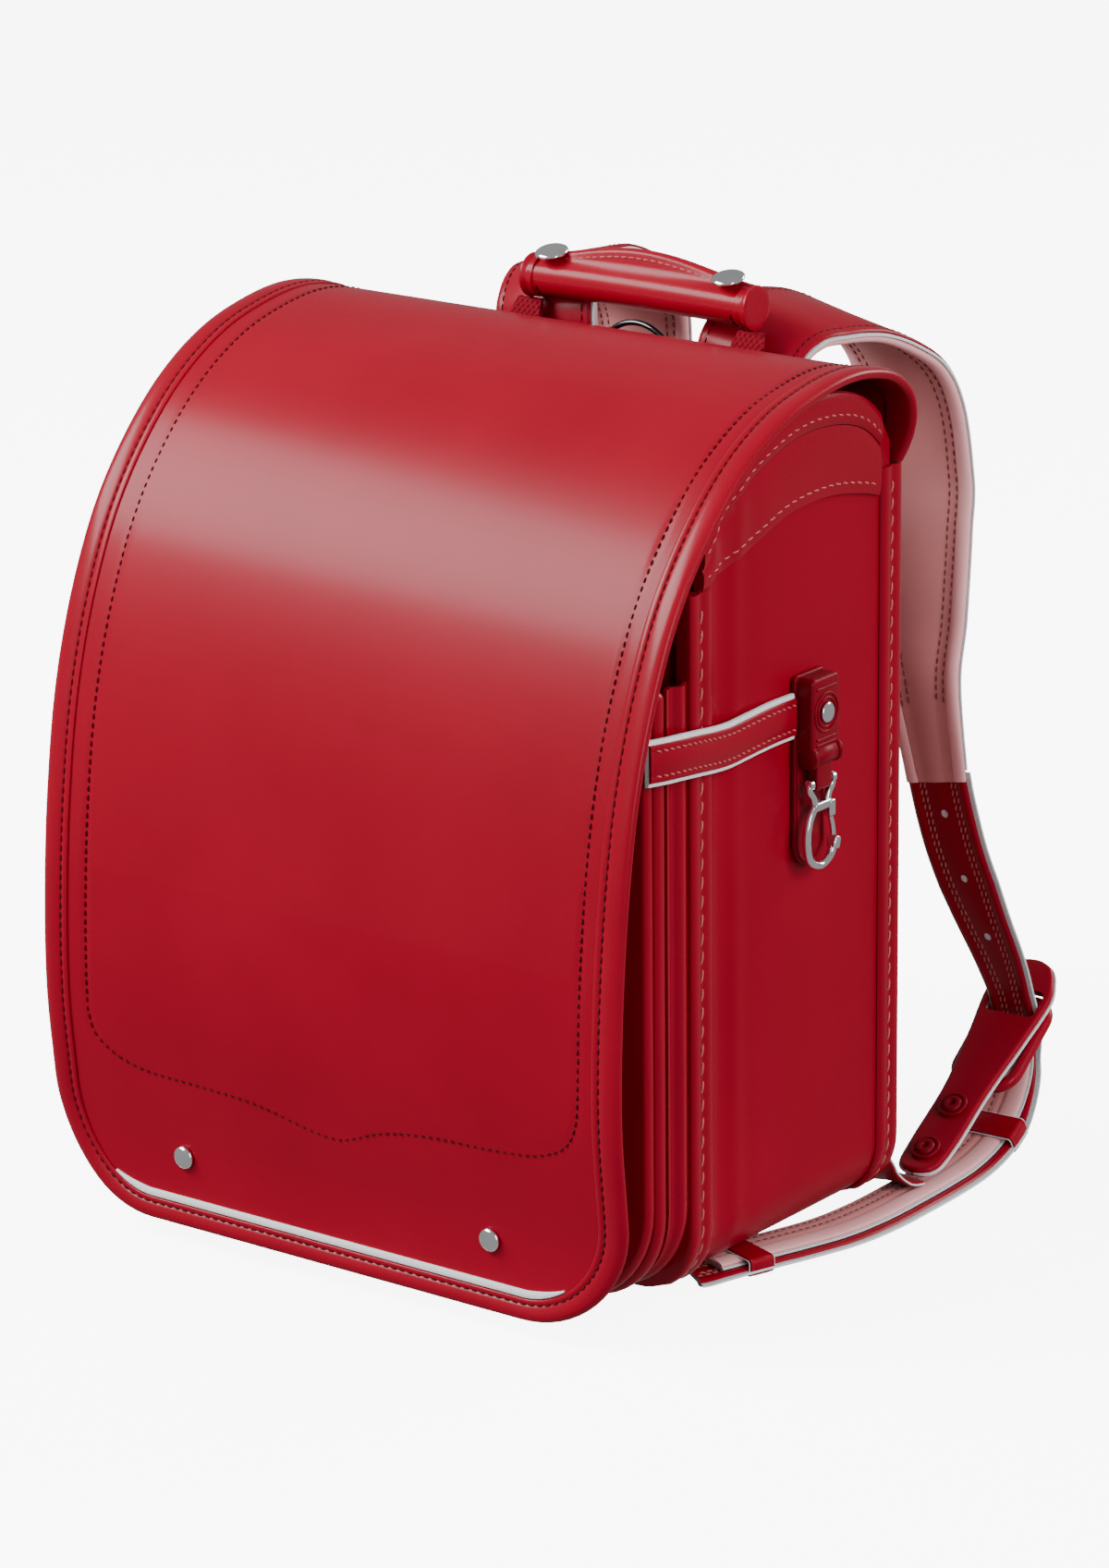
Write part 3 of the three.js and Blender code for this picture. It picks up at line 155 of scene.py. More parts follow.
class Recipe:
    """One finish in the making."""

    def __init__(self, name, **constants):
        self.material = bpy.data.materials.new(name)
        self.material.use_nodes = True
        self.tree = self.material.node_tree
        self.shader = self.tree.nodes["Principled BSDF"]
        for name, value in constants.items():
            socket = name.replace("_", " ").title().replace("Ior", "IOR")
            self.shader.inputs[socket].default_value = value

    def node(self, kind, settings=None, sockets=None, out=0):
        made = self.tree.nodes.new(kind)
        for name, value in (settings or {}).items():
            setattr(made, name, value)
        for name, value in (sockets or {}).items():
            self.feed(made.inputs[name], value)
        return Link(self, made.outputs[out])

    def feed(self, socket, value):
        if isinstance(value, Link):
            self.tree.links.new(value.socket, socket)
        elif socket.type == "RGBA" and len(value) == 3:
            socket.default_value = (*value, 1)
        else:
            socket.default_value = value

    def place(self):
        return self.node("ShaderNodeTexCoord", out="Object")

    def axes(self):
        """The place as three numbers, along x, y and z."""
        parts = self.node("ShaderNodeSeparateXYZ", None, {0: self.place()})
        return [Link(self, socket) for socket in parts.socket.node.outputs]

    def noise(self, scale, detail=2.0, roughness=0.5, stretch=None):
        where = self.place() if stretch is None else self.place() * stretch
        values = {"Vector": where, "Scale": scale, "Detail": detail, "Roughness": roughness}
        return self.node("ShaderNodeTexNoise", None, values)

    def between(self, low, high, share):
        """A number that goes from low to high as a noise goes through its usual span."""
        settings = {"clamp": True}
        values = {"Value": share, "From Min": NOISE_LOW, "From Max": NOISE_HIGH, "To Min": low,
                  "To Max": high}
        return self.node("ShaderNodeMapRange", settings, values)

    def mix(self, share, first, second, way="MIX"):
        settings = {"data_type": "RGBA", "blend_type": way, "clamp_factor": True}
        return self.node("ShaderNodeMix", settings, {0: share, 6: first, 7: second}, out=2)

    def bump(self, height, depth):
        values = {"Height": height, "Distance": depth * MM, "Strength": 1.0}
        self.feed(self.shader.inputs["Normal"], self.node("ShaderNodeBump", None, values))

    def set(self, **values):
        for socket, value in values.items():
            self.feed(self.shader.inputs[socket.replace("_", " ")], value)
        return self.material


print("recipes ready")

# %% [markdown]
# Coated leather is a coloured sheet under a clear, slightly soft film. The film gives the broad
# pale streaks, so the shader has a coat over a fairly rough base. Up close the sheet has a fine
# irregular grain, and from afar a faint cloudiness, so two sizes of noise drive colour and bump.


# %% Leathers
def coated_leather(name, light, dark, roughness, coat, grain=0.02, shine=0.1):
    recipe = Recipe(name, coat_weight=coat, coat_roughness=0.2, specular_ior_level=shine)
    cloud = recipe.noise(14, 3)
    pores = recipe.noise(1100, 2, 0.6)
    creases = recipe.noise(420, 2, 0.5, stretch=(1, 1, 0.6))
    colour = recipe.mix(recipe.between(0, 1, cloud), dark, light)
    rough = recipe.between(roughness - 0.03, roughness + 0.04, pores)
    recipe.bump(pores * 0.4 + creases * 0.6, grain)
    return recipe.set(Base_Color=colour, Roughness=rough)


def matt_leather(name, light, dark, roughness=0.62, sheen=0.25):
    recipe = Recipe(name, sheen_weight=sheen, sheen_roughness=0.5, specular_ior_level=0.3)
    cloud = recipe.noise(22, 4)
    grain = recipe.noise(900, 3, 0.65)
    colour = recipe.mix(recipe.between(0, 1, cloud), dark, light)
    speckled = recipe.mix(recipe.between(0, 0.12, grain), colour, dark)
    recipe.bump(grain, 0.05)
    return recipe.set(Base_Color=speckled,
                      Roughness=recipe.between(roughness - 0.06, roughness + 0.06, grain))


RED, RED_SHADE = (0.215, 0.0014, 0.0115), (0.19, 0.0011, 0.0095)
red_leather = coated_leather("red_leather", RED, RED_SHADE, 0.35, 0.12)
gusset_leather = coated_leather("gusset_leather", RED, RED_SHADE, 0.38, 0.06, shine=0.06)
binding_leather = coated_leather("binding_leather", (0.22, 0.0014, 0.0115), RED_SHADE, 0.3, 0.18,
                                 0.04)
moulded_red = coated_leather("moulded_red", (0.16, 0.0012, 0.0085), (0.13, 0.0009, 0.0068), 0.42,
                             0.05, 0.03)
lining_pink = matt_leather("lining_pink", (0.46, 0.17, 0.17), (0.42, 0.15, 0.15), sheen=0.05)
# The beads are lining leather in a lighter pink: a painted highlight on their round edge.
bead_pink = matt_leather("bead_pink", (0.68, 0.32, 0.33), (0.62, 0.28, 0.29), 0.5, 0.05)
print("leathers:", len(bpy.data.materials))

# %% [markdown]
# The pale trim is retroreflective cloth: glass beads on grey fabric. A fine cell pattern lightens
# some cells and dims others, a painted sparkle: the lighter cells are painted glints of the beads.
# Thread is twisted, so its bump runs in fine slanting lines, and its colour is painted
# lighter on the ridges and darker in the grooves: painted highlight and painted shade. Plated metal
# is smooth with a faint
# cloud in its roughness, which keeps its reflections from looking drawn with a ruler.


# %% Trim, thread, webbing and metal
def beaded_trim(name, light, dark):
    recipe = Recipe(name, specular_ior_level=0.6)
    values = {"Vector": recipe.place(), "Scale": 2600}
    cells = recipe.node("ShaderNodeTexVoronoi", {"feature": "F1"}, values, out="Color")
    bead_glint_cells = recipe.node("ShaderNodeSeparateColor", None, {0: cells})
    # The lighter cells are painted glints of the glass beads.
    colour = recipe.mix(bead_glint_cells, dark, light)
    recipe.bump(bead_glint_cells, 0.03)
    return recipe.set(Base_Color=colour, Roughness=recipe.between(0.35, 0.6, bead_glint_cells))


def twisted_thread(name, light, dark, roughness=0.5):
    recipe = Recipe(name, specular_ior_level=0.15)
    across, deep, high = recipe.axes()
    turns = ((across + high + deep) * 7000).sine()
    # Colour follows the twist: painted highlight on each ridge, painted shade in each groove.
    colour = recipe.mix(turns * 0.5 + 0.5, dark, light)
    recipe.bump(turns, 0.06)
    return recipe.set(Base_Color=colour,
                      Roughness=recipe.between(roughness - 0.05, roughness + 0.1, turns))


def woven_tape(name, light, dark):
    recipe = Recipe(name, specular_ior_level=0.1)
    across, _, high = recipe.axes()
    warp = (across * 2600).sine()
    weft = (high * 1900).sine()
    weave_and_painted_shade = warp * weft
    # Colour is darker where the weave's bump is low: painted shade between the threads.
    colour = recipe.mix(weave_and_painted_shade * 0.5 + 0.5, dark, light)
    recipe.bump(weave_and_painted_shade, 0.35)
    return recipe.set(Base_Color=colour, Roughness=recipe.between(0.7, 0.9, weave_and_painted_shade))


def plated(name, light, dark, roughness):
    recipe = Recipe(name, metallic=1.0)
    film = recipe.noise(60, 3)
    colour = recipe.mix(recipe.between(0, 1, film), dark, light)
    scratches = recipe.noise(500, 2, 0.5, stretch=(1, 1, 9))
    recipe.bump(scratches, 0.004)
    return recipe.set(Base_Color=colour,
                      Roughness=recipe.between(roughness * 0.8, roughness * 1.3, film))


silver_trim = beaded_trim("silver_trim", (0.62, 0.64, 0.66), (0.44, 0.46, 0.48))
white_trim = beaded_trim("white_trim", (0.66, 0.66, 0.67), (0.50, 0.51, 0.53))
# The dark thread is darker than the thread itself: part of its darkness is painted shade of the
# stitch holes.
dark_thread = twisted_thread("dark_thread", (0.055, 0.0006, 0.0016), (0.03, 0.0004, 0.001))
light_thread = twisted_thread("light_thread", (0.50, 0.15, 0.15), (0.28, 0.035, 0.04), 0.4)
rose_thread = twisted_thread("rose_thread", (0.17, 0.055, 0.055), (0.11, 0.03, 0.03))
tape_red = woven_tape("tape_red", (0.20, 0.0015, 0.011), (0.085, 0.0006, 0.005))
chrome = plated("chrome", (0.92, 0.92, 0.93), (0.80, 0.80, 0.82), 0.12)
black_nickel = plated("black_nickel", (0.10, 0.10, 0.11), (0.06, 0.06, 0.065), 0.14)
print("finishes:", len(bpy.data.materials))

# %% [markdown]
# Leather bends in smooth curves, which are drawn here through a few chosen points. Blender has
# curve objects for that. This script works the curve out itself, by the centripetal spline that
# the solid model uses, so that the smooth leather lies exactly where the faceted one did.


# %% Curves
def spline(points, shares):
    """Places on a centripetal spline through points, at shares from 0 to 1."""
    points = np.asarray(points, float)
    ends = np.vstack([2 * points[0] - points[1], points, 2 * points[-1] - points[-2]])
    found = []
    for share in np.atleast_1d(shares):
        position = min(max(share, 0.0), 1.0) * (len(points) - 1)
        i = min(int(position), len(points) - 2)
        w = position - i
        p0, p1, p2, p3 = ends[i:i + 4]
        d0, d1, d2 = (max(np.linalg.norm(b - a) ** 0.5, 1e-4)
                      for a, b in ((p0, p1), (p1, p2), (p2, p3)))
        t1 = ((p1 - p0) / d0 - (p2 - p0) / (d0 + d1) + (p2 - p1) / d1) * d1
        t2 = ((p2 - p1) / d1 - (p3 - p1) / (d1 + d2) + (p3 - p2) / d2) * d1
        bend, twist = 3 * (p2 - p1) - 2 * t1 - t2, 2 * (p1 - p2) + t1 + t2
        found.append(p1 + t1 * w + bend * w ** 2 + twist * w ** 3)
    return np.array(found)


def smooth_rows(rows):
    """A table of (x, y) rows as a smooth function."""
    flat = spline([(x, y, 0) for x, y in rows], np.linspace(0, 1, 400))
    return lambda x: np.interp(x, flat[:, 0], flat[:, 1])


def round_angles(count):
    """Angles of evenly spaced places round a circle."""
    return np.linspace(0, 2 * math.pi, count + 1)[:-1]


def unit(vectors):
    """Vectors of length 1 with the same directions."""
    vectors = np.asarray(vectors, float)
    return vectors / np.linalg.norm(vectors, axis=-1, keepdims=True)


def reach_along(path):
    """The distance along a path at each of its points."""
    return np.concatenate([[0], np.cumsum(np.linalg.norm(np.diff(path, axis=0), axis=1))])


print("curves ready")

# %% [markdown]
# Most pieces of a bag are bands: a strap, a binding, a belt. A band is a cross-section carried
# along a path, so one loft makes them all: it joins rings of points, as planks join the ribs of a
# boat. A sheet is a wall, an outer and an inner grid of points joined by a rim. Both come out
# closed, so each mesh is a body with an inside, as the real piece is.


# %% Shapes
class Shape:
    """Points and faces gathered for one mesh."""

    def __init__(self):
        self.points = []
        self.faces = []

    def add(self, points, faces):
        start = len(self.points)
        self.points.extend(np.asarray(points, float).reshape(-1, 3).tolist())
        self.faces.extend([[start + i for i in face] for face in faces])
        return self

    def loft(self, rings, closed=False):
        rings = np.asarray(rings, float)
        count, size = rings.shape[:2]
        faces = []
        for i in range(count if closed else count - 1):
            a, b = i * size, (i + 1) % count * size
            faces += [(a + j, a + (j + 1) % size, b + (j + 1) % size, b + j) for j in range(size)]
        if not closed:
            faces += [tuple(range(size))[::-1], tuple(range((count - 1) * size, count * size))]
        return self.add(rings, faces)

    def wall(self, outer, inner):
        outer, inner = np.asarray(outer, float), np.asarray(inner, float)
        rows, cols = outer.shape[:2]
        base = rows * cols
        faces = []
        for i in range(rows - 1):
            for j in range(cols - 1):
                a = i * cols + j
                quad = (a, a + 1, a + cols + 1, a + cols)
                faces += [quad, tuple(base + v for v in quad[::-1])]
        rim = list(range(cols)) + [i * cols + cols - 1 for i in range(1, rows)]
        rim += [(rows - 1) * cols + j
                for j in range(cols - 2, -1, -1)] + [i * cols for i in range(rows - 2, 0, -1)]
        faces += [(b, a, base + a, base + b) for a, b in zip(rim, rim[1:] + rim[:1])]
        return self.add(np.concatenate([outer.reshape(-1, 3), inner.reshape(-1, 3)]), faces)


print("shapes ready")

# %% [markdown]
# A piece is a mesh in the scene, with one finish. It rides on one body of the solid model, so
# that it moves where that body moves, and mostly stands for a node of it, which then hides.

# %% Making a piece
SHARP = 50  # degrees between two faces that still look like one smooth surface


def make(name, shape, finish, body="bag", sharp=SHARP, nodes=(), slot=None):
    """Turns a shape into a piece that rides on a body and may stand for solid nodes."""
    mesh = bpy.data.meshes.new(name)
    mesh.from_pydata((np.array(shape.points) * MM).tolist(), [], shape.faces)
    mesh.validate()
    piece = bpy.data.objects.new(name, mesh)
    bpy.context.scene.collection.objects.link(piece)
    bm = bmesh.new()
    bm.from_mesh(mesh)
    bmesh.ops.recalc_face_normals(bm, faces=bm.faces)
    bm.to_mesh(mesh)
    bm.free()
    mesh.shade_smooth()
    mesh.set_sharp_from_angle(angle=math.radians(sharp))
    mesh.materials.append(finish)
    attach(piece, body)
    if nodes:
        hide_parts(*nodes)
    return piece


print("pieces join their faces smoothly up to", SHARP, "degrees")

# %% [markdown]
# Stitches are geometry here, not paint: each is a short thread that rises from one hole and dips
# into the next. Painted stitches would have no shadow and vanish from the side. A row is laid
# along any path on which the way out of the leather is known.


# %% Stitches
def square_to(vectors, along):
    """Unit vectors at right angles to along, as near to the given ones as can be."""
    return unit(vectors - along * np.sum(vectors * along, axis=1)[:, None])


def spaced(path, outward, pitch):
    """Even places along a path, the way along it and the way out, which may be one for all."""
    path = np.asarray(path, float)
    outward = np.broadcast_to(np.asarray(outward, float), path.shape)
    reach = reach_along(path)
    marks = np.arange(pitch / 2, reach[-1] - pitch / 4, pitch)

    def read(table, places):
        return np.array([np.interp(places, reach, column) for column in table.T]).T

    along = unit(read(path, marks + 0.6) - read(path, marks - 0.6))
    return read(path, marks), along, square_to(read(outward, marks), along)


STITCH_STEPS = ((-0.5, 0.35, -0.45), (-0.3, 0.9, 0.1), (0.0, 1.0, 0.35), (0.3, 0.9, 0.1),
                (0.5, 0.35, -0.45))


def sew(shape, path, outward, pitch=3.7, length=2.9, thick=0.75, slant=0.0):
    """Adds a row of stitches to a shape. Slant turns each stitch a little off the row."""
    places, along, out = spaced(path, outward, pitch)
    for place, forward, away in zip(places, along, out):
        line = forward * math.cos(slant) + np.cross(forward, away) * math.sin(slant)
        cross = np.cross(line, away)
        rings = []
        for reach, width, height in STITCH_STEPS:
            middle = place + line * reach * length + away * (height * thick * 0.5)
            rings.append([middle + thick * 0.5 * width * (cross * math.cos(a) + away * math.sin(a))
                          for a in round_angles(5)])
        shape.loft(rings)
    return shape


print("rings in a stitch:", len(STITCH_STEPS))

# %% [markdown]
# The flap is one long sheet that wraps from the back over the top and down the front. Seen from
# the side it is a single curve, so the sheet is written as a place across, a distance along the
# curve and a depth under the surface. Everything sewn to the flap uses the same three numbers.

# %% The flap's curve
GAP = 0.3
BOTTOM = 7.5
FLAP_HALF, FLAP_REAR_HALF, FLAP_TAPER, FLAP_CORNER = 134, 127, 26, 47
FLAP_REAR_Y, FLAP_FRONT_Y, FLAP_TOP = 113.5, -75, 335
FLAP_EDGE, FLAP_SHEET = 4.0, 2.4
BINDING, TUCK = 12, 6
FLAP_SIDE_VIEW = (
    (0.003, 0.872), (0.0, 0.9), (0.003, 0.924), (0.022, 0.957), (0.076, 0.983), (0.162, 0.997),
    (0.24, 1.0), (0.335, 0.994), (0.459, 0.976), (0.584, 0.939), (0.692, 0.887), (0.8, 0.811),
    (0.881, 0.719), (0.941, 0.612), (0.978, 0.487), (0.997, 0.359), (1.0, 0.252), (0.986, 0.16),
    (0.973, 0.093), (0.973, 0.044), (0.984, 0.0),
)
flap_line = spline([
    (0, FLAP_REAR_Y + (FLAP_FRONT_Y - FLAP_REAR_Y) * deep, BOTTOM + (FLAP_TOP - BOTTOM) * high)
    for deep, high in FLAP_SIDE_VIEW
], np.linspace(0, 1, 1600))
flap_reach = reach_along(flap_line)
FLAP_LENGTH = flap_reach[-1]


def flap_frame(s):
    """Place and outward direction of the flap's curve at the distance s."""
    places = [[np.interp(s + step, flap_reach, flap_line[:, k]) for k in (1, 2)]
              for step in (-2, 0, 2)]
    (y0, z0), (y, z), (y1, z1) = places
    size = math.hypot(y1 - y0, z1 - z0)
    return y, z, (z1 - z0) / size, -(y1 - y0) / size


def flap_at(x, s, depth):
    y, z, out_y, out_z = flap_frame(s)
    return np.array([x, y - out_y * depth, z - out_z * depth])


def flap_out(s):
    return np.array([0, *flap_frame(s)[2:]])


def flap_half(s, inset=0.0):
    half = FLAP_HALF - inset
    if s < FLAP_TAPER:
        half -= (FLAP_HALF - FLAP_REAR_HALF) * (1 - s / FLAP_TAPER) ** 2
    return half


def flap_outline(inset, step=3.0, turns=18):
    """Places x, s round the flap's free edge, with the direction inwards."""
    centre = FLAP_LENGTH - FLAP_CORNER
    rows = [(-flap_half(s, inset), s, 1.0, 0.0)
            for s in np.linspace(0, centre - 0.5, int(centre / step))]
    reach = FLAP_CORNER - inset
    for a in np.linspace(0, math.pi / 2, turns):
        x = -(FLAP_HALF - FLAP_CORNER) - reach * math.cos(a)
        rows.append((x, centre + reach * math.sin(a), math.cos(a), -math.sin(a)))
    middle = [(x, FLAP_LENGTH - inset, 0.0, -1.0) for x in np.linspace(-70, 70, 15)]
    return rows + middle + [(-x, s, -tx, ts) for x, s, tx, ts in rows[::-1]]


print("flap length along its curve:", round(float(FLAP_LENGTH), 1), "mm")

# %% [markdown]
# The flap's sheet is nearly plain. What makes it look like leather on a real bag is that it is a
# little softer than a board: it dips slightly along the decorative seam and swells inside it.
# The grid is fine enough for the dip to be real relief. The seam has a small point in the middle
# of its lower run, which shows only because the leather sinks there.

# %% Flap sheet
SEAM_LOW = (
    (-113.5, 85), (-111, 77), (-102.6, 70.5), (-89, 66.6), (-57.7, 65.4), (-38, 64.4), (-22.3, 62),
    (-8, 59.2), (4, 58.4), (12, 60.6), (21, 64.2), (33, 67.2), (46.8, 69), (80.3, 70.8), (97, 73),
    (109.3, 79), (114.3, 88), (116, 112.6),
)


def front_distance(z):
    """How far along the flap's curve its front face has the height z."""
    late = flap_reach > FLAP_LENGTH * 0.45
    return np.interp(-z, -flap_line[late, 2], flap_reach[late])


seam_low = spline([(x, 0, z) for x, z in SEAM_LOW], np.linspace(0, 1, 160))
LEFT_SEAM, RIGHT_SEAM, SEAM_START = -113.5, 115.7, 30
SEAM_DIP, SEAM_DIP_WIDE = 0.35, 1.3
seam_route = [(LEFT_SEAM, s) for s in np.linspace(SEAM_START, front_distance(90), 120)]
seam_route += [(x, front_distance(z)) for x, _, z in seam_low]
seam_route += [(RIGHT_SEAM, s) for s in np.linspace(front_distance(114), SEAM_START, 120)]
seam_route = np.array(seam_route)


def seam_dip(x, s):
    gaps = np.hypot(seam_route[:, 0] - x, seam_route[:, 1] - s)
    return SEAM_DIP * math.exp(-(gaps.min() / SEAM_DIP_WIDE) ** 2)


flap_inset = TUCK + 0.8
sheet_top = (FLAP_EDGE - FLAP_SHEET) / 2
flap_end = FLAP_LENGTH - flap_inset
rows = list(np.arange(0, flap_end - FLAP_CORNER, 3.0))
rows += [flap_end - (FLAP_CORNER - flap_inset) * (1 - math.sin(a))
         for a in np.linspace(0, math.pi / 2, 26)]
cross = np.concatenate([np.linspace(-1, -0.8, 26), np.linspace(-0.78, 0.78, 31),
                        np.linspace(0.8, 1, 26)])


def sheet_half(s):
    drop = (FLAP_CORNER - flap_inset) - (flap_end - s)
    if drop <= 0:
        return flap_half(s, flap_inset)
    reach = FLAP_CORNER - flap_inset
    return FLAP_HALF - FLAP_CORNER + math.sqrt(max(0.0, reach ** 2 - drop ** 2))


outer = [[flap_at(c * sheet_half(s), s, sheet_top + seam_dip(c * sheet_half(s), s)) for c in cross]
         for s in rows]
inner = [[flap_at(c * sheet_half(s), s, sheet_top + FLAP_SHEET) for c in cross] for s in rows]
flap_sheet = make("flap_sheet", Shape().wall(outer, inner), red_leather, nodes=("flap",),
                  slot="leather")
seam_path = [flap_at(x, s, sheet_top + 0.08) for x, s in seam_route]
seam_out = [flap_out(s) for _, s in seam_route]
make("flap_seam", sew(Shape(), seam_path, seam_out, pitch=3.4, length=2.3, thick=0.72), dark_thread)
print("flap sheet faces:", len(flap_sheet.data.polygons))

# %% [markdown]
# The binding is a strip folded round the flap's raw edge and sewn through both faces. Its outer
# fold is round, and the needle pulls a shallow groove near its inner edge. A bevel could round
# the flap's rim, but not draw a second layer, so one section of the fold runs round the outline.
# Along the bottom the fold is narrower, and a pale strip lies inside it.

# %% Flap binding
BINDING_SECTION = (
    (12.0, 0.75), (11.9, 0.28), (11.3, 0.02), (10.2, -0.02), (9.3, 0.22), (8.9, 0.42), (8.5, 0.22),
    (7.4, -0.12), (5.4, -0.35), (3.2, -0.3), (1.5, 0.1), (0.5, 0.8), (0.0, 2.0), (0.5, 3.2),
    (1.5, 3.9), (3.5, 4.1), (8.0, 4.1), (12.0, 4.0), (12.0, 3.5), (6.0, 3.5), (6.0, 0.75),
)
LOW_BINDING = 0.7


def fold_share(ts):
    """How wide the binding is at a place of the outline, against its width at the sides."""
    return 1 - (1 - LOW_BINDING) * ts * ts


def folded(row, inward, depth):
    x, s, tx, ts = row
    reach = inward * (fold_share(ts) if depth < 2 else 1)
    return flap_at(x + tx * reach, s + ts * reach, depth)


binding_rings = [[folded(row, inward, depth) for inward, depth in BINDING_SECTION]
                 for row in flap_outline(0)]
make("flap_edge_fold", Shape().loft(binding_rings), binding_leather, nodes=("flap_binding",),
     slot="leather")
edge_route = [row for row in flap_outline(0) if row[1] > 4]
edge_path = [folded(row, 8.9, 0.3) for row in edge_route]
edge_out = [flap_out(s) for _, s, _, _ in edge_route]
make("flap_edge_stitches", sew(Shape(), edge_path, edge_out), dark_thread)

STRIP = 2.8
strip_rings = []
for row in [row for row in flap_outline(0, turns=40) if row[3] < -0.85]:
    near = BINDING + GAP / fold_share(row[3])
    wide = STRIP * min(1.0, 0.12 + (abs(row[3]) - 0.85) * 6.5) / fold_share(row[3])
    section = ((0, sheet_top), (0.03, 0.1), (0.15, -0.1), (0.85, -0.1), (0.97, 0.1), (1, sheet_top))
    strip_rings.append([folded(row, near + wide * w, depth) for w, depth in section])
make("flap_strip", Shape().loft(strip_rings), white_trim, nodes=("flap_reflector",),
     slot="reflective")
print("binding rings:", len(binding_rings))

# %% [markdown]
# The body is a long wall that runs down one side, under the bag and up the other, as a barrel
# stave would. Its route, seen from the front, is a U with round corners. The wall is not flat:
# behind the front seam it dips into a fold, because the side has to fold when the bag opens. A
# sculpting brush could press that fold in, but a table of depths can be read and corrected.

# %% Body wall
BODY_HALF, BODY_FRONT, BODY_BACK, BODY_TOP, BODY_CORNER = 124, -12, 107, 327, 24
WALL = 2.2
BODY_DEPTH = BODY_BACK - BODY_FRONT
SIDE_TOP = ((0, 0.875), (0.072, 0.903), (0.134, 0.926), (0.211, 0.95), (0.364, 0.981),
            (0.517, 0.999), (0.69, 1.0), (0.85, 0.982), (0.95, 0.95), (1, 0.92))
SIDE_DENT = ((0, 0), (0.05, 0.1), (0.085, 1.2), (0.115, 1.9), (0.16, 1.3), (0.2, 0.5), (0.25, 0.75),
             (0.35, 0.3), (0.6, 0), (0.9, 0), (1, 0))
side_share, dent_share = smooth_rows(SIDE_TOP), smooth_rows(SIDE_DENT)


def side_top(y):
    return BOTTOM + (BODY_TOP - BOTTOM) * side_share((y - BODY_FRONT) / BODY_DEPTH)


def side_dent(y):
    return dent_share((y - BODY_FRONT) / BODY_DEPTH)


def u_route(half, bottom, corner, top, straight=30, turns=12):
    """x, z and the way out, down the left side, under the bag and up the right side."""
    left = [(-half, z, -1.0, 0.0) for z in np.linspace(top, bottom + corner, straight)[:-1]]
    for a in np.linspace(0, math.pi / 2, turns):
        left.append((-half + corner * (1 - math.cos(a)), bottom + corner * (1 - math.sin(a)),
                     -math.cos(a), -math.sin(a)))
    flat = [(x, bottom, 0.0, -1.0) for x in np.linspace(-half + corner, half - corner, 14)[1:-1]]
    return left + flat + [(-x, z, -out_x, out_z) for x, z, out_x, out_z in left[::-1]]


def wall_grid(inward):
    rows = []
    for y in np.linspace(BODY_FRONT, BODY_BACK, 58):
        route = u_route(BODY_HALF, BOTTOM, BODY_CORNER, side_top(y))
        rows.append([(x - nx * (inward + side_dent(y) * abs(nx)), y, z - nz * inward)
                     for x, z, nx, nz in route])
    return rows


make("body_wall", Shape().wall(wall_grid(0), wall_grid(WALL)), gusset_leather,
     nodes=("main_gusset",), slot="leather")
print("body wall done")

# %% [markdown]
# Front and back are joined to the wall by an L-shaped binding: one leg lies on the side, the
# other closes the corner. On the real bag it is a folded strip with a row of heavy stitches
# pressed into it, so the section has a groove for them and a round outer edge.

# %% Corner bindings
LEG, UNDER = 6.5, 0.9
EDGE_SECTION = (
    (-6.5, -5.0), (-6.5, -1.0), (-6.5, 0.6), (-6.1, 1.3), (-5.2, 1.75), (-3.8, 1.9), (-2.2, 1.7),
    (-1.0, 1.25), (-0.2, 0.95), (0.6, 1.25), (1.8, 1.8), (3.4, 2.0), (5.0, 1.8), (6.1, 1.2),
    (6.5, 0.4), (6.3, 0.3), (-0.3, 0.3), (-0.3, -5.0),
)
back_top = float(flap_line[0, 2]) - 2 * GAP


def corner_binding(name, y, way, top, node):
    rings = []
    for x, z, nx, nz in u_route(BODY_HALF, BOTTOM, BODY_CORNER, top, 44):
        ring = []
        for along, out in EDGE_SECTION:
            step = min(out, UNDER) if nz < -0.9 and out > GAP else out
            ring.append((x + nx * step, y + way * along, z + nz * step))
        rings.append(ring)
    make(name, Shape().loft(rings), binding_leather, nodes=(node,), slot="leather")


def corner_stitches(name, y, top, pitch, thread):
    route = [row for row in u_route(BODY_HALF, BOTTOM, BODY_CORNER, top, 44) if row[3] > -0.98]
    half = len(route) // 2
    shape = Shape()
    for part in (route[:half], route[half:]):
        path = [(x + nx * 1.05, y, z + nz * 1.05) for x, z, nx, nz in part]
        sew(shape, path, [(nx, 0, nz) for _, _, nx, nz in part], pitch, pitch * 0.78, 1.0,
            slant=0.22)
    make(name, shape, thread)


YOKE_ROWS = (
    (0, 0.826, 8), (0.06, 0.832, 8), (0.12, 0.838, 8.5), (0.19, 0.846, 9), (0.3, 0.86, 9.5),
    (0.43, 0.876, 10.5), (0.56, 0.882, 11.5), (0.69, 0.881, 12), (0.83, 0.872, 12),
    (0.93, 0.862, 12),
)
front_top = BOTTOM + (BODY_TOP - BOTTOM) * YOKE_ROWS[0][1] - 2 * GAP
corner_binding("front_corner_fold", BODY_FRONT, 1, front_top, "front_edging")
corner_binding("back_corner_fold", BODY_BACK, -1, back_top, "back_edging")
corner_stitches("front_corner_stitches", BODY_FRONT - 0.2, front_top - 3, 7.0, light_thread)
corner_stitches("back_corner_stitches", BODY_BACK + 0.2, back_top - 3, 6.4, light_thread)
print("corner bindings done")

# %% [markdown]
# The front and back are boards under leather. They are flat, so they are made from an outline
# with round lower corners and a small round on each edge, which catches a thin line of light.


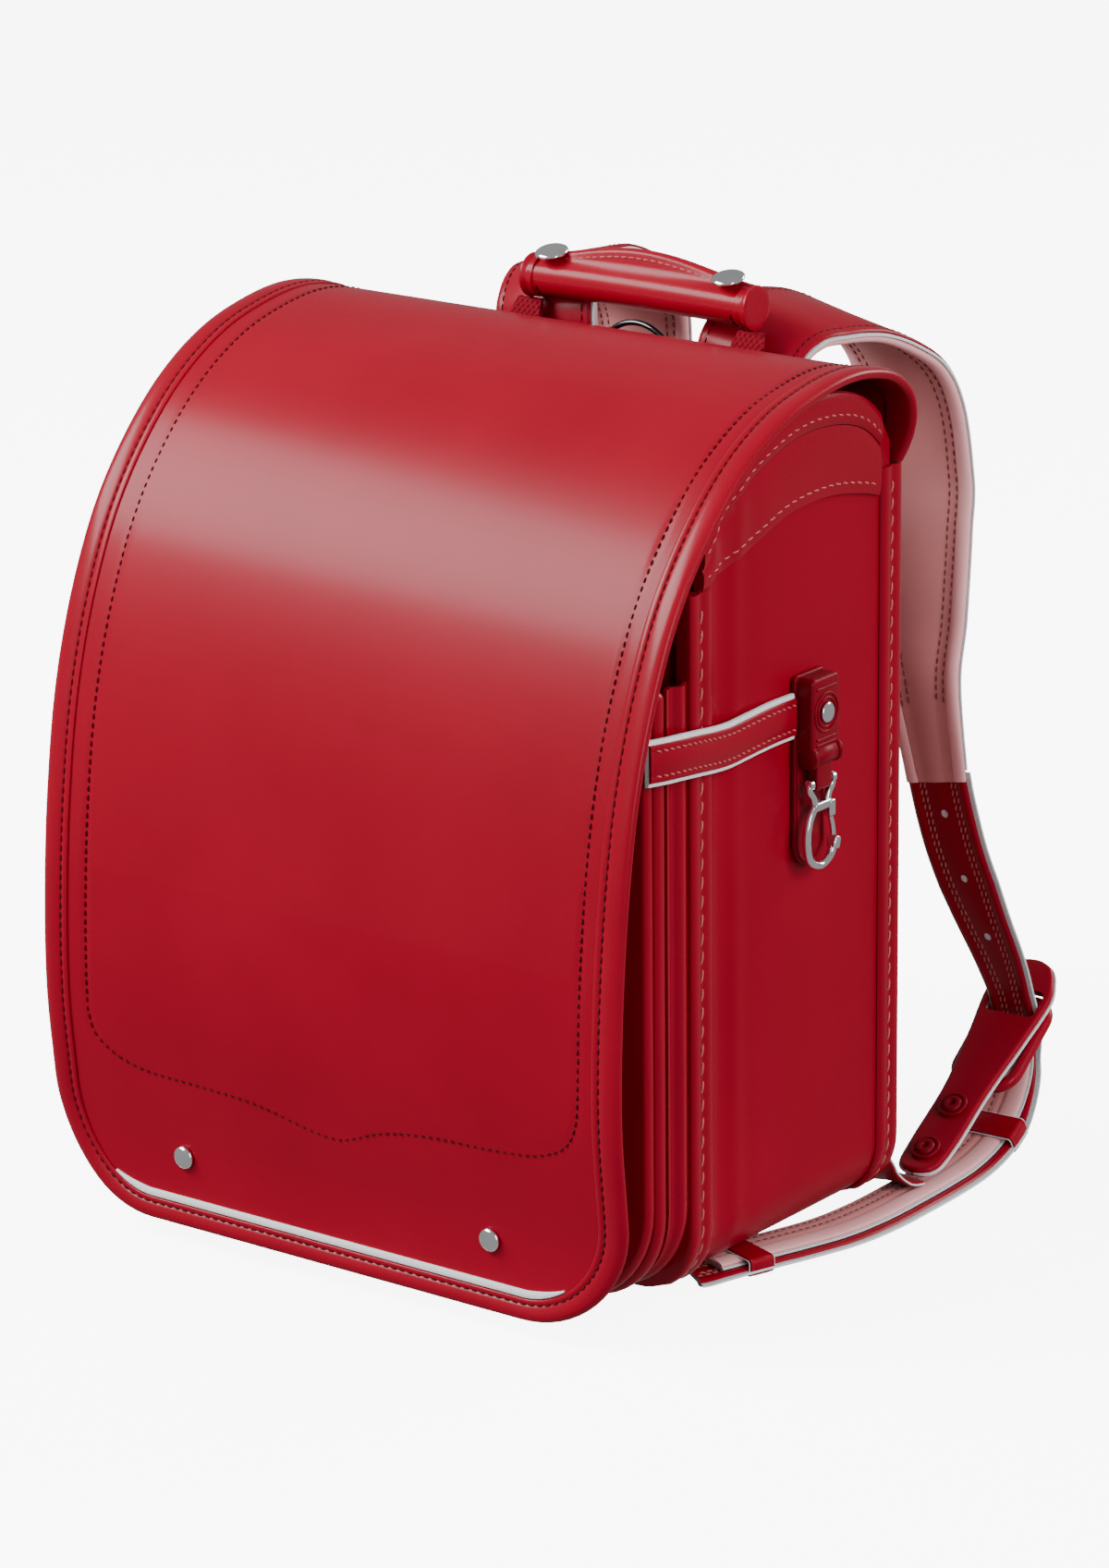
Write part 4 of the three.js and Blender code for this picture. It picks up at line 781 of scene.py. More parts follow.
# %% Boards
def rounded(half, low, high, low_corner, high_corner, turns=12):
    """An upright rounded outline, as a function of how far it is drawn inwards."""
    corners = ((half, low, 1, 1, -90, low_corner), (half, high, 1, -1, 0, high_corner),
               (-half, high, -1, -1, 90, high_corner), (-half, low, -1, 1, 180, low_corner))

    def outline(inset):
        loop = []
        for u, v, way, rise, start, radius in corners:
            centre_u, centre_v = u - way * max(radius, inset), v + rise * max(radius, inset)
            reach = max(radius - inset, 0.05)
            for a in np.radians(np.linspace(start, start + 90, turns)):
                loop.append((centre_u + reach * math.cos(a), centre_v + reach * math.sin(a)))
        return loop

    return outline


def slab(shape, outline, depth, edge, place, steps=5):
    """A plate with both its rims rounded, put in place by a function of u, v and depth."""
    arcs = [(edge * (1 - math.cos(a)), edge * (1 - math.sin(a)))
            for a in np.linspace(math.pi / 2, 0, steps)]
    levels = arcs + [(inset, depth - far) for inset, far in arcs[::-1]]
    return shape.loft([[place(u, v, far) for u, v in outline(inset)] for inset, far in levels])


def board(name, node, half, low, high, corner, back_y, depth, edge=1.2, top_corner=1.5):
    outline = rounded(half, low, high, corner, top_corner)
    shape = slab(Shape(), outline, depth, edge, lambda u, v, far: (u, back_y - far, v))
    make(name, shape, binding_leather, nodes=(node,), slot="leather")


BOARD = 3
LEDGE = 5
inner_half, inner_corner = BODY_HALF - LEDGE - GAP, BODY_CORNER - LEDGE - GAP
inner_bottom = BOTTOM + LEDGE + GAP
board("front_panel", "front_board", inner_half, inner_bottom, front_top, inner_corner,
      BODY_FRONT - GAP, BOARD)
board("back_panel", "back_board", inner_half, inner_bottom, back_top, inner_corner,
      BODY_BACK + BOARD + GAP, BOARD)
print("boards done")

# %% [markdown]
# In front of the body sit two pockets. The larger one has a soft wall that folds like a bellows,
# and it is that fold which shows as bright upright lines between flap and side. The slim one is
# a flat pouch with a bound edge. The folds could be a bump, but a bump leaves the outline
# straight, so here the wall's own grid bulges and dips.

# %% Pockets
POCKET_WALL_HALF, POCKET_WALL_DEPTH = 123.5, 13.5
POCKET_HALF, POCKET_DEPTH, POCKET_TOP, POCKET_CORNER = 125, 6.5, 240, 36
SLIM_DEPTH, SLIM_TOP = 5.5, 232
seam_y = BODY_FRONT - LEG - GAP
bellows = smooth_rows(((0, 0), (0.1, 0.5), (0.25, 1.9), (0.42, 2.5), (0.55, 1.8), (0.66, 0.4),
                       (0.76, 0.1), (0.86, 0.9), (1, 1.2)))


def bellows_grid(inward):
    rows = []
    for share in np.linspace(0, 1, 26):
        route = u_route(POCKET_WALL_HALF, BOTTOM + 3, POCKET_CORNER - 3, POCKET_TOP, 16)
        step = float(bellows(share)) - inward
        rows.append([(x + nx * step, seam_y - share * POCKET_WALL_DEPTH, z + nz * min(step, 2.4))
                     for x, z, nx, nz in route])
    return rows


make("pocket_bellows", Shape().wall(bellows_grid(0), bellows_grid(1.6)), binding_leather,
     nodes=("pocket_gusset",), slot="leather")
panel_y = seam_y - POCKET_WALL_DEPTH - GAP
board("pocket_panel", "pocket_front", POCKET_HALF, BOTTOM, POCKET_TOP, POCKET_CORNER, panel_y,
      POCKET_DEPTH, edge=2.6, top_corner=3)
slim_y = panel_y - POCKET_DEPTH - GAP
board("slim_pouch", "slim_pocket", POCKET_HALF - 0.5, BOTTOM, SLIM_TOP, POCKET_CORNER + 4, slim_y,
      SLIM_DEPTH, edge=2.3, top_corner=3)
print("pockets done")

# %% [markdown]
# High on each side lies a second layer of leather, the yoke, and along the top edge a turned
# binding. Both are sewn with one row of bright stitches a few millimetres from their edges. They
# could be cut from a plane by a modifier, but their edges follow two curves, and a grid between
# the two curves gives clean edges and a soft crown.

# %% Side yokes and top bindings
yoke_share = smooth_rows([row[:2] for row in YOKE_ROWS])
binding_height = smooth_rows([(share, height) for share, _, height in YOKE_ROWS])


def at_side(share, sign, out, z):
    y = BODY_FRONT + share * BODY_DEPTH
    return sign * (BODY_HALF - float(side_dent(y)) + out), y, z


def edge_height(share, down=0.0):
    return float(side_top(BODY_FRONT + share * BODY_DEPTH)) - down


def yoke_low(share):
    return BOTTOM + (BODY_TOP - BOTTOM) * float(yoke_share(share))


def binding_low(share):
    return edge_height(share, float(binding_height(share)))


def side_strip(sign, low, high, wall, crown, rows=9):
    """A closed sheet on the side between two heights, a little swollen in its middle."""
    grids = []
    for out, swell in ((GAP + wall, crown), (GAP, 0)):
        grids.append([[at_side(share, sign, out + swell * math.sin(math.pi * t) ** 0.5,
                               low(share) + (high(share) - low(share)) * t)
                       for t in np.linspace(0, 1, rows)]
                       for share in np.linspace(0, YOKE_ROWS[-1][0], 70)])
    return Shape().wall(*grids)


for side, sign in SIDES:
    yoke = side_strip(sign, yoke_low, lambda share: binding_low(share) - GAP, wall=1.2, crown=0.9)
    make(f"yoke_{side}", yoke, binding_leather, nodes=(f"side_yoke_{side}",), slot="leather")
    strip = side_strip(sign, binding_low, lambda share: edge_height(share, 0.4), wall=1.5,
                       crown=1.1)
    make(f"top_binding_{side}", strip, binding_leather, nodes=(f"side_top_band_{side}",),
         slot="leather")
    shape = Shape()
    for low, rise, out in ((yoke_low, 4, 2.0), (binding_low, 3.6, 2.6)):
        path = [at_side(share, sign, out, low(share) + rise)
                for share in np.linspace(0.01, 0.925, 90)]
        sew(shape, path, (sign, 0, 0), pitch=4.6, length=3.6, thick=0.8, slant=0.15)
    make(f"side_stitches_{side}", shape, light_thread)
print("yokes done")

# %% [markdown]
# The side band holds the pockets to the body. It is a red strap sewn on a wider pale strap, so
# the pale one shows as a rim above and below. It leaves its mount, runs forward with a slight
# sag and ends under the flap. Two sections on one course keep the layers together.

# %% Side bands
HOOK_Y, PLATE_HALF, BAND_MIDDLE = 53.5, 9.5, 212.5
BAND_COURSE = ((-0.2, 1.4, 0), (-14, 1.7, 0.2), (-30, 2.2, -0.2), (-42, 3, -0.3), (-52, 3.8, 0.6),
               (-62, 4.6, 2), (-72, 5, 3.2), (-82, 4.4, 4), (-91, 2.8, 4.6))
band_line = spline(BAND_COURSE, np.linspace(0, 1, 60))


def side_band(sign, profile):
    start = HOOK_Y - PLATE_HALF - GAP
    return [[(sign * (BODY_HALF + proud + out), start + along, BAND_MIDDLE + sag + height)
             for height, out in profile]
            for along, proud, sag in band_line]


PALE_SECTION = ((-8.5, -0.7), (-8.6, 0.2), (-8.4, 0.8), (-7.6, 1.0), (7.6, 1.0), (8.4, 0.8),
                (8.6, 0.2), (8.5, -0.7))
RED_SECTION = ((-6.9, 1.05), (-6.9, 1.6), (-6.3, 2.0), (-5.0, 2.05), (-4.6, 1.85), (-4.2, 2.1),
               (4.2, 2.1), (4.6, 1.85), (5.0, 2.05), (6.3, 2.0), (6.9, 1.6), (6.9, 1.05))
for side, sign in SIDES:
    make(f"band_rim_{side}", Shape().loft(side_band(sign, PALE_SECTION)), white_trim,
         nodes=(f"side_band_{side}",), slot="reflective")
    make(f"band_face_{side}", Shape().loft(side_band(sign, RED_SECTION)), red_leather,
         slot="leather")
    shape = Shape()
    for height in (-4.6, 4.6):
        path = [ring[0] for ring in side_band(sign, ((height, 2.0),))]
        sew(shape, path, (sign, 0, 0), pitch=3.3, length=2.6, thick=0.7, slant=0.3)
    make(f"band_stitches_{side}", shape, light_thread)
print("side bands done")

# %% [markdown]
# Straps, belts and pads are bands of several layers that bend together. Each could be a flat
# mesh bent by a curve modifier, but the layers would drift apart. Here every band has a course,
# and each layer is a section carried along that same course, so the layers stay on one another.
# A row of a course is x, y and z. A strap's row adds its share of the full width, its roll in
# degrees and how much higher the left strap stands, and a pad's row adds its share of the width.

# %% Strap courses
STRAP_WIDE = 46
STRAP_COURSE = (
    (45, 126.2, 291, 1, 0, 0), (45.3, 127, 304, 1, 2, 2), (46, 130, 320, 1, 8, 6),
    (47.5, 142, 329, 1, 14, 9), (49.5, 159, 329.5, 1, 15, 9), (52.5, 180, 325, 1, 13, 7),
    (56, 197, 315, 1, 10, 5), (60, 207.5, 303, 1, 7, 3), (64.5, 212, 287, 1, 5, 0),
    (70, 210.5, 259, 0.98, 3, 0), (75, 203, 239.7, 0.95, 2, 0), (84, 190.5, 207.7, 0.84, 0, 0),
    (89.5, 183.3, 187.8, 0.71, 0, 0), (96, 182.5, 152, 0.6, 0, 0),
)
UPPER_BELT = (
    (96.2, 182.55, 151.4), (97.6, 183.3, 143), (102.4, 186, 121), (109.4, 191, 97),
    (116.4, 197, 74), (119.4, 201.6, 57), (119.8, 204.2, 46),
)
LOWER_BELT = (
    (119, 201.6, 40), (119.6, 199.8, 31), (120.6, 193.6, 21.5), (121.3, 184.5, 13.6),
    (121.6, 173, 8.2), (121.8, 159, 5), (122.2, 142, 4), (122.8, 120, 3.9), (122.8, 98, 3.9),
    (120.6, 76, 4.05), (115.5, 55, 4.6), (109.6, 36, 5.05), (104, 20, 5.05),
)
TAIL_END, TAIL_SHIFT = (102.5, 12, 1.6), 3.6
TAIL_SHARES = (0.04, 0.1, 0.17, 0.25, 0.33, 0.41, 0.5, 0.58, 0.67, 0.75, 0.83, 0.92, 1)
BELT_TOP_WIDE, BELT_WIDE, BELT_WALL, LOWER_WIDE, LOWER_WALL = 27, 19.5, 2.2, 19, 2.6
PAD_COURSE = (
    (120, 219, 69.2, 0.42), (120, 214, 65.4, 0.74), (120, 205, 58.6, 1), (120.3, 190, 47, 0.86),
    (120.8, 166.5, 30.6, 0.66), (121.3, 146.5, 18.2, 0.66), (121.8, 134.5, 12, 0.6),
    (122, 128.5, 10.05, 0.36),
)
PAD_WIDE, PAD_WALL = 29, 4
print("rows of the strap, belt and pad courses:", len(STRAP_COURSE), len(UPPER_BELT),
      len(PAD_COURSE))

# %% [markdown]
# To carry a section along a course, each place needs a way along, a way across and a way out.
# The way across starts level and is rolled where a strap leans on a shoulder, and the other two
# follow from it. Bands are drawn for the right side, and mirrored for the left one.

# %% Bands
NEAR = 1e-4  # the share to both sides of a place, from which the way along is taken


def band_frames(course, shares, roll=None):
    """Places, the way along, the way across and the way out at shares of a band's course."""
    course = np.asarray(course, float)[:, :3]
    shares = np.asarray(shares, float)
    after, before = np.minimum(shares + NEAR, 1), np.maximum(shares - NEAR, 0)
    along = unit(spline(course, after) - spline(course, before))
    angles = np.radians(roll(shares)) if roll else np.zeros(len(shares))
    level = np.column_stack([np.cos(angles), np.zeros(len(shares)), -np.sin(angles)])
    wide = square_to(level, along)
    return spline(course, shares), along, wide, np.cross(wide, along)


def mirror(points, sign):
    """The points of the right side, or their mirror image for the left one."""
    return np.asarray(points, float) * (sign, 1, 1)


def strap_rings(course, shares, sign, section, roll=None):
    """Rings of a band. The section is given for each share as (across, out) pairs."""
    places, _, wide, out = band_frames(course, shares, roll)
    return [mirror([place + w * a + o * h for a, h in section(share)], sign)
            for share, place, w, o in zip(shares, places, wide, out)]


def band(name, course, shares, sign, section, finish, slot, nodes=(), roll=None):
    """A piece that is one section carried along a course."""
    rings = strap_rings(course, shares, sign, section, roll)
    return make(name, Shape().loft(rings), finish, nodes=nodes, slot=slot)


def band_seam(shape, course, shares, sign, half, insets, heights, edges=(-1, 1), roll=None,
              **stitch):
    """Sewn rows on a band, at insets from its edges and at heights over its course."""
    places, _, wide, out = band_frames(course, shares, roll)
    for edge in edges:
        for inset in insets:
            across = np.array([edge * (half(share) - inset) for share in shares])[:, None]
            for height in heights:
                facing = out if height >= 0 else -out
                path = mirror(places + wide * across + out * height, sign)
                sew(shape, path, mirror(facing, sign), **stitch)
    return shape


print("bands ready")

# %% [markdown]
# A shoulder strap is red leather outside, a grey beaded trim along both edges, and a padded pink
# lining inside. The lining has a flat middle in a deeper rose, two sewn rows and a round bead
# along each edge. The beads are soft tubes of their own, since a fold in the lining's section
# would round off between them. Their lighter pink is a painted highlight on the round edge. The
# left strap stands a little higher than the right one.

# %% Strap sections
STRAP_SHARES = np.linspace(0, 1, 150)
FACE_ROW, LINING_ROWS = 3.9, (6.0, 9.2)
course_shares = np.linspace(0, 1, len(STRAP_COURSE))


def width_of(course):
    """The share of its full width that a band has along its course."""
    return smooth_rows(list(zip(np.linspace(0, 1, len(course)), [row[3] for row in course])))


def mirrored(half, *middle):
    """A half section, the points in its middle, and the mirror image of the half."""
    return (*half, *middle, *((-a, z) for a, z in half[::-1]))


strap_width = width_of(STRAP_COURSE)


def strap_half(share):
    return STRAP_WIDE * float(strap_width(share)) / 2


def strap_roll(share):
    return np.interp(share, course_shares, [row[4] for row in STRAP_COURSE])


def strap_section(share):
    h = strap_half(share)
    half = ((-h + 0.6, 0.35), (-h + 0.3, 1.1), (-h + 0.9, 1.75), (-h + 3.2, 1.95), (-h + 3.9, 1.7),
            (-h + 4.6, 2.0))
    return mirrored(half, (0, 2.15))


def trim_section(share):
    h = strap_half(share)
    return mirrored(((-h - 0.5, -0.7), (-h - 0.6, -0.1), (-h - 0.4, 0.3)))


def lining_depth(share):
    """The padding thins towards the strap's lower end."""
    return min(1.0, 0.6 + 5 * (1 - share))


def lining_section(share):
    h, deep = strap_half(share) - 4.6, lining_depth(share)
    rim = ((-h - 1, -0.35), (-h - 1, -2.4 * deep), (-h + 0.6, -3.1 * deep),
           (-h + 1.4, -2.75 * deep),
           (-h + 3.0, -3.15 * deep), (-h + 4.6, -2.75 * deep), (-h + 5.6, -3.3 * deep))
    return mirrored(rim, (0, -3.8 * deep))


def bead_section(share, edge):
    h, deep = strap_half(share), lining_depth(share)
    return [(edge * (h - 2.7 + 2.9 * math.cos(a)), -2.15 * deep - 1.8 * deep * math.sin(a))
            for a in round_angles(14)]


def longer(rings, extra=4.3):
    """The lining runs on a little below the strap's end."""
    step = rings[-1].mean(axis=0) - rings[-2].mean(axis=0)
    return [*rings, rings[-1] + unit(step) * extra]


print("strap sections ready")

# %% Shoulder straps
for side, sign in SIDES:
    higher = sign < 0
    course = [(x + higher * lift * 0.7, y, z + higher * lift)
              for x, y, z, _, _, lift in STRAP_COURSE]
    route = (course, STRAP_SHARES, sign)
    band(f"strap_face_{side}", *route, strap_section, red_leather, "leather",
         (f"shoulder_strap_{side}",), strap_roll)
    band(f"strap_trim_{side}", *route, trim_section, silver_trim, "reflective", roll=strap_roll)
    padding = Shape().loft(longer(strap_rings(*route, lining_section, strap_roll)))
    lining = make(f"strap_padding_{side}", padding, lining_pink, nodes=(f"strap_lining_{side}",),
                  slot="lining")
    beads = Shape()
    for edge in (-1, 1):
        beads.loft(longer(strap_rings(*route, lambda share: bead_section(share, edge), strap_roll)))
    make(f"strap_beads_{side}", beads, bead_pink, slot="lining")
    face = band_seam(Shape(), *route, strap_half, (FACE_ROW,), (1.75,), roll=strap_roll, pitch=3.6,
                     length=2.8, thick=0.7)
    make(f"strap_stitches_{side}", face, dark_thread)
    inside = band_seam(Shape(), course, STRAP_SHARES[:-8], sign, strap_half, LINING_ROWS, (-2.9,),
                       roll=strap_roll, pitch=3.4, length=2.4, thick=0.75)
    make(f"padding_stitches_{side}", inside, rose_thread)
print("straps done")

# %% [markdown]
# Below the lining the strap becomes a belt with holes, sewn with two close rows along each edge.
# It dives through the slot of a moulded pad, turns round the buckle's bar and runs forward under
# the bag as a tail, lying against a lower belt that is lined in pink. The holes are cut through
# the mesh, because a dark spot in the colour would look flat from the side.

# %% Belt sections
tail_places, _, _, tail_out = band_frames(LOWER_BELT, TAIL_SHARES)
tail_gap = (BELT_WALL + LOWER_WALL) / 2 + 0.25
tail = tail_places + tail_out * tail_gap
tail[:, 0] += TAIL_SHIFT * np.minimum(1, np.array(TAIL_SHARES) * 4)
BELT_COURSE = [*UPPER_BELT, *[tuple(p) for p in tail], TAIL_END]
HOLE_SHARES, HOLE = (0.07, 0.125, 0.175), 1.7
BELT_WIDTHS = ((0, BELT_TOP_WIDE), (0.13, BELT_TOP_WIDE), (0.2, 22), (0.235, BELT_WIDE),
               (1, BELT_WIDE))
BELT_ROWS, UNDER_ROWS, LOWER_HALF = (5.3, 7.3), (12, 16.2), LOWER_WIDE / 2


def belt_half(share):
    return np.interp(share, *zip(*BELT_WIDTHS)) / 2


def belt_section(share):
    h = belt_half(share)
    half = ((-h + 0.2, 0.1), (-h + 0.1, 0.6), (-h + 0.6, 1.2), (-h + 1.6, 1.55), (-h + 2.8, 1.6),
            (-h + 4.0, 1.25), (-h + 4.6, 0.75), (-h + 5.2, 0.85), (-h + 7.6, 0.8), (-h + 8.1, 0.95))
    upper = mirrored(half, (0, 0.9))
    return upper + tuple((a, -z) for a, z in upper[::-1])


def belt_trim(share):
    h = belt_half(share)
    return ((-h - 0.5, -0.4), (-h - 0.5, 0.4), (h + 1.8, 0.45), (h + 2.1, 0), (h + 1.8, -0.45))


def lower_section(share):
    h = LOWER_HALF
    return ((-h + 0.3, -1.1), (-h, 0), (-h + 0.3, 1.1), (h - 0.5, 1.1), (h - 0.3, -0.9),
            (h - 8.6, -0.9), (h - 9.4, -1.25),
            (h - 11, -1.3), (h - 12, -1.0), (h - 13, -1.3), (h - 15.5, -1.3), (h - 16.2, -1.05),
            (h - 17, -1.3))


def lower_bead(share):
    return [(LOWER_HALF - 4.2 + 4.1 * math.cos(a), -0.55 + 1.15 * math.sin(a))
            for a in round_angles(18)]


def lower_trim(share):
    h = LOWER_HALF + 0.8
    return ((-h, 0.0), (-h, 0.7), (h, 0.7), (h, 0.0))


print("belt sections ready")

# %% [markdown]
# Real holes are punched, and round parts are turned. So there is a cutter, which takes one shape
# out of another, and a lathe, which turns a profile round an axis. The cutter uses Blender's
# exact boolean, which leaves a clean rim, and applies it, so no modifier is left behind.


# %% Cutter and lathe
def bored(piece, cutter):
    """The piece with the cutter's shape taken out of it."""
    tool = make("cutter", cutter, red_leather)
    taking = piece.modifiers.new("hole", "BOOLEAN")
    taking.object, taking.operation, taking.solver = tool, "DIFFERENCE", "EXACT"
    bpy.context.view_layer.update()
    seen = piece.evaluated_get(bpy.context.evaluated_depsgraph_get())
    cut = bpy.data.meshes.new_from_object(seen)
    piece.modifiers.clear()
    piece.data = cut
    bpy.data.objects.remove(tool)
    piece.data.set_sharp_from_angle(angle=math.radians(SHARP))


def lathe(shape, place, axis, profile, turns=32):
    """A turned body: radius and height pairs round an axis."""
    axis = unit(axis)
    first = unit(np.cross(axis, (1, 0, 0) if abs(axis[0]) < 0.9 else (0, 1, 0)))
    second = np.cross(axis, first)
    ways = [first * math.cos(a) + second * math.sin(a) for a in round_angles(turns)]
    return shape.loft([[place + axis * height + radius * way for way in ways]
                       for radius, height in profile])


def drill(place, axis, radius, length, turns=24):
    """A round cutter that starts at a place and runs along an axis."""
    return lathe(Shape(), place, axis, ((radius, 0), (radius, length)), turns)


print("cutter and lathe ready")

# %% Belts
for side, sign in SIDES:
    route = (BELT_COURSE, np.linspace(0, 1, 240), sign)
    belt = band(f"belt_{side}", *route, belt_section, red_leather, "leather",
                (f"holed_belt_{side}",))
    places, _, _, outs = band_frames(BELT_COURSE, HOLE_SHARES)
    for place, out in zip(mirror(places, sign), mirror(outs, sign)):
        bored(belt, drill(place - out * 4, out, HOLE, 8, 20))
    band(f"belt_trim_{side}", *route, belt_trim, silver_trim, "reflective")
    route = (BELT_COURSE, np.linspace(0.004, 0.995, 240), sign)
    rows = band_seam(Shape(), *route, belt_half, BELT_ROWS, (0.9, -0.9),
                     pitch=3.0, length=2.5, thick=0.75, slant=0.25)
    make(f"belt_stitches_{side}", rows, light_thread)
    route = (LOWER_BELT, np.linspace(0, 1, 150), sign)
    band(f"under_belt_{side}", *route, lower_section, lining_pink, "lining",
         (f"lower_belt_{side}",))
    # The under belt's bead has the same painted highlight in its lighter pink.
    band(f"under_bead_{side}", *route, lower_bead, bead_pink, "lining")
    band(f"under_trim_{side}", *route, lower_trim, silver_trim, "lining")
    route = (LOWER_BELT, np.linspace(0.02, 0.98, 150), sign)
    under = band_seam(Shape(), *route, lambda share: LOWER_HALF, UNDER_ROWS, (-1.15,),
                      edges=(1,), pitch=3.4, length=2.4, thick=0.65)
    make(f"under_belt_stitches_{side}", under, rose_thread)
print("belts done")

# %% [markdown]
# The small parts are wires and blocks. A wire is a round tube along a path in one plane, and a
# block is a box whose edges are all rounded, because nothing moulded or cast has a sharp edge.
# Parts are drawn for the right side, and the left one is their mirror image.


# %% Wires and blocks
def tube(shape, path, radius, plane, closed=False, sides=14):
    """A round wire along a path that lies in the plane with the given normal."""
    path, plane = np.asarray(path, float), np.asarray(plane, float)
    along = np.roll(path, -1, 0) - np.roll(path, 1, 0) if closed else np.gradient(path, axis=0)
    flat = unit(np.cross(along, plane))
    rings = [[p + radius * (plane * math.cos(a) + f * math.sin(a)) for a in round_angles(sides)]
             for p, f in zip(path, flat)]
    return shape.loft(rings, closed)


def block(shape, centre, sizes, axes, edge=0.6, corner=1.0):
    """A box with rounded edges. Its outline lies along the first two axes."""
    across, rise, deep = np.asarray(axes, float)
    wide, high, far_side = sizes
    outline = rounded(wide / 2, -high / 2, high / 2, corner, corner, 6)
    start = np.asarray(centre)
    return slab(shape, outline, far_side, edge,
                lambda u, v, far: start + across * u + rise * v + deep * (far - far_side / 2))


def flipped(shape, sign):
    shape.points = [(x * sign, y, z) for x, y, z in shape.points]
    return shape


def rivet(name, place, axis, radius, height, node):
    """A low dome with a straight rim."""
    dome = [(radius * 0.94, 0), (radius, height * 0.12), (radius, height * 0.28)]
    dome += [(radius * math.cos(a), height * (0.28 + 0.72 * math.sin(a)))
             for a in np.radians((15, 32, 50, 68, 80, 89))]
    make(name, lathe(Shape(), place, axis, dome, 40), chrome, nodes=(node,), slot="chrome")


X_AXIS, Y_AXIS, Z_AXIS = np.eye(3)
SIDE_AXES = (Y_AXIS, Z_AXIS, X_AXIS)
print("wires and blocks ready")

# %% [markdown]
# The back is quilted: foam under soft pink leather, sewn down in two upright channels so that it
# breathes. Foam makes it swell between the seams and pull in at them. A cloth simulation would
# do this too, but a height worked out for each place is exact and the same on each run.

# %% Back pad
PAD_HALF, PAD_LOW, PAD_HIGH, PAD_DEEP = 112, 23.5, 286, 10
CROWN = ((-1, 0.25), (-0.92, 0.75), (-0.5, 1), (0, 0.9), (0.5, 1), (0.92, 0.75), (1, 0.25))
CHANNELS = (-0.36, 0.36)
crown = smooth_rows(CROWN)
pad_front = BODY_BACK + BOARD + 2 * GAP


def pad_swell(u, v):
    groove = sum(math.exp(-((u - c) / 0.035) ** 2) for c in CHANNELS) * min(1.0, (1 - abs(v)) * 9)
    rim = math.exp(-((max(abs(u), abs(v)) - 0.9) / 0.02) ** 2)
    return max(2.0, PAD_DEEP * float(crown(u)) * float(crown(v)) - 3.2 * groove - 1.2 * rim)


def pad_height(v):
    return PAD_LOW + (PAD_HIGH - PAD_LOW) * (v + 1) / 2


def pad_grid(deep):
    return [[(PAD_HALF * u, pad_front + (pad_swell(u, v) if deep else 0), pad_height(v))
             for u in np.linspace(-1, 1, 100)] for v in np.linspace(-1, 1, 100)]


pad = make("back_quilt", Shape().wall(pad_grid(True), pad_grid(False)), lining_pink,
           nodes=("back_pad",), slot="lining")
shape = Shape()
for channel in CHANNELS:
    path = [(PAD_HALF * channel, pad_front + pad_swell(channel, v) + 0.1, pad_height(v))
            for v in np.linspace(-0.88, 0.88, 90)]
    sew(shape, path, Y_AXIS, pitch=4.2, length=3.2, thick=0.8)
make("back_quilt_stitches", shape, rose_thread)
print("back pad done")

# %% [markdown]
# The hook hangs on a moulded mount: a thin plate with a raised rim, a thick block riveted to the
# bag, and a tongue that takes the hook's pin. Ridges run round the rivet, as on the real mount,
# where they hide the flow lines of the plastic. The mount is one moulding, so its plates, hub and
# ridges are gathered in one mesh. The tongue is apart, because a hole is bored through it.

# %% Hook mounts
PLATE_X, PLATE_DEEP, PLATE_LOW, PLATE_HIGH = BODY_HALF + GAP, 2, 154, 227
BLOCK_BACK, BLOCK_FACE, BLOCK_LOW, BLOCK_HIGH, BLOCK_HALF = 125, 133.4, 196.5, 226.4, 8.7
PIVOT_X, PIVOT_Z, PIN_HOLE, HUB_Z, RIVET_Z = 131, 186.5, 1.45, 197, 213
TONGUE_HALF, TONGUE_LOW, TONGUE_HIGH, TONGUE_DEEP = 1.8, 183.6, 198.5, 9.5
ROUND_RIDGES, FLAT_RIDGES, RIDGE = (5.4, 7.2), (199.4, 201.4, 203.4, 222.4), 0.5
HUB = ((3.2, 0), (4, 0.8), (4, 12.2), (3.2, 13))
HUB_COLLAR = ((4, 0), (4.5, 0.5), (4.5, 1.4), (4, 1.9))


def on_side(x):
    return lambda u, v, far: (x + far, HOOK_Y + u, v)


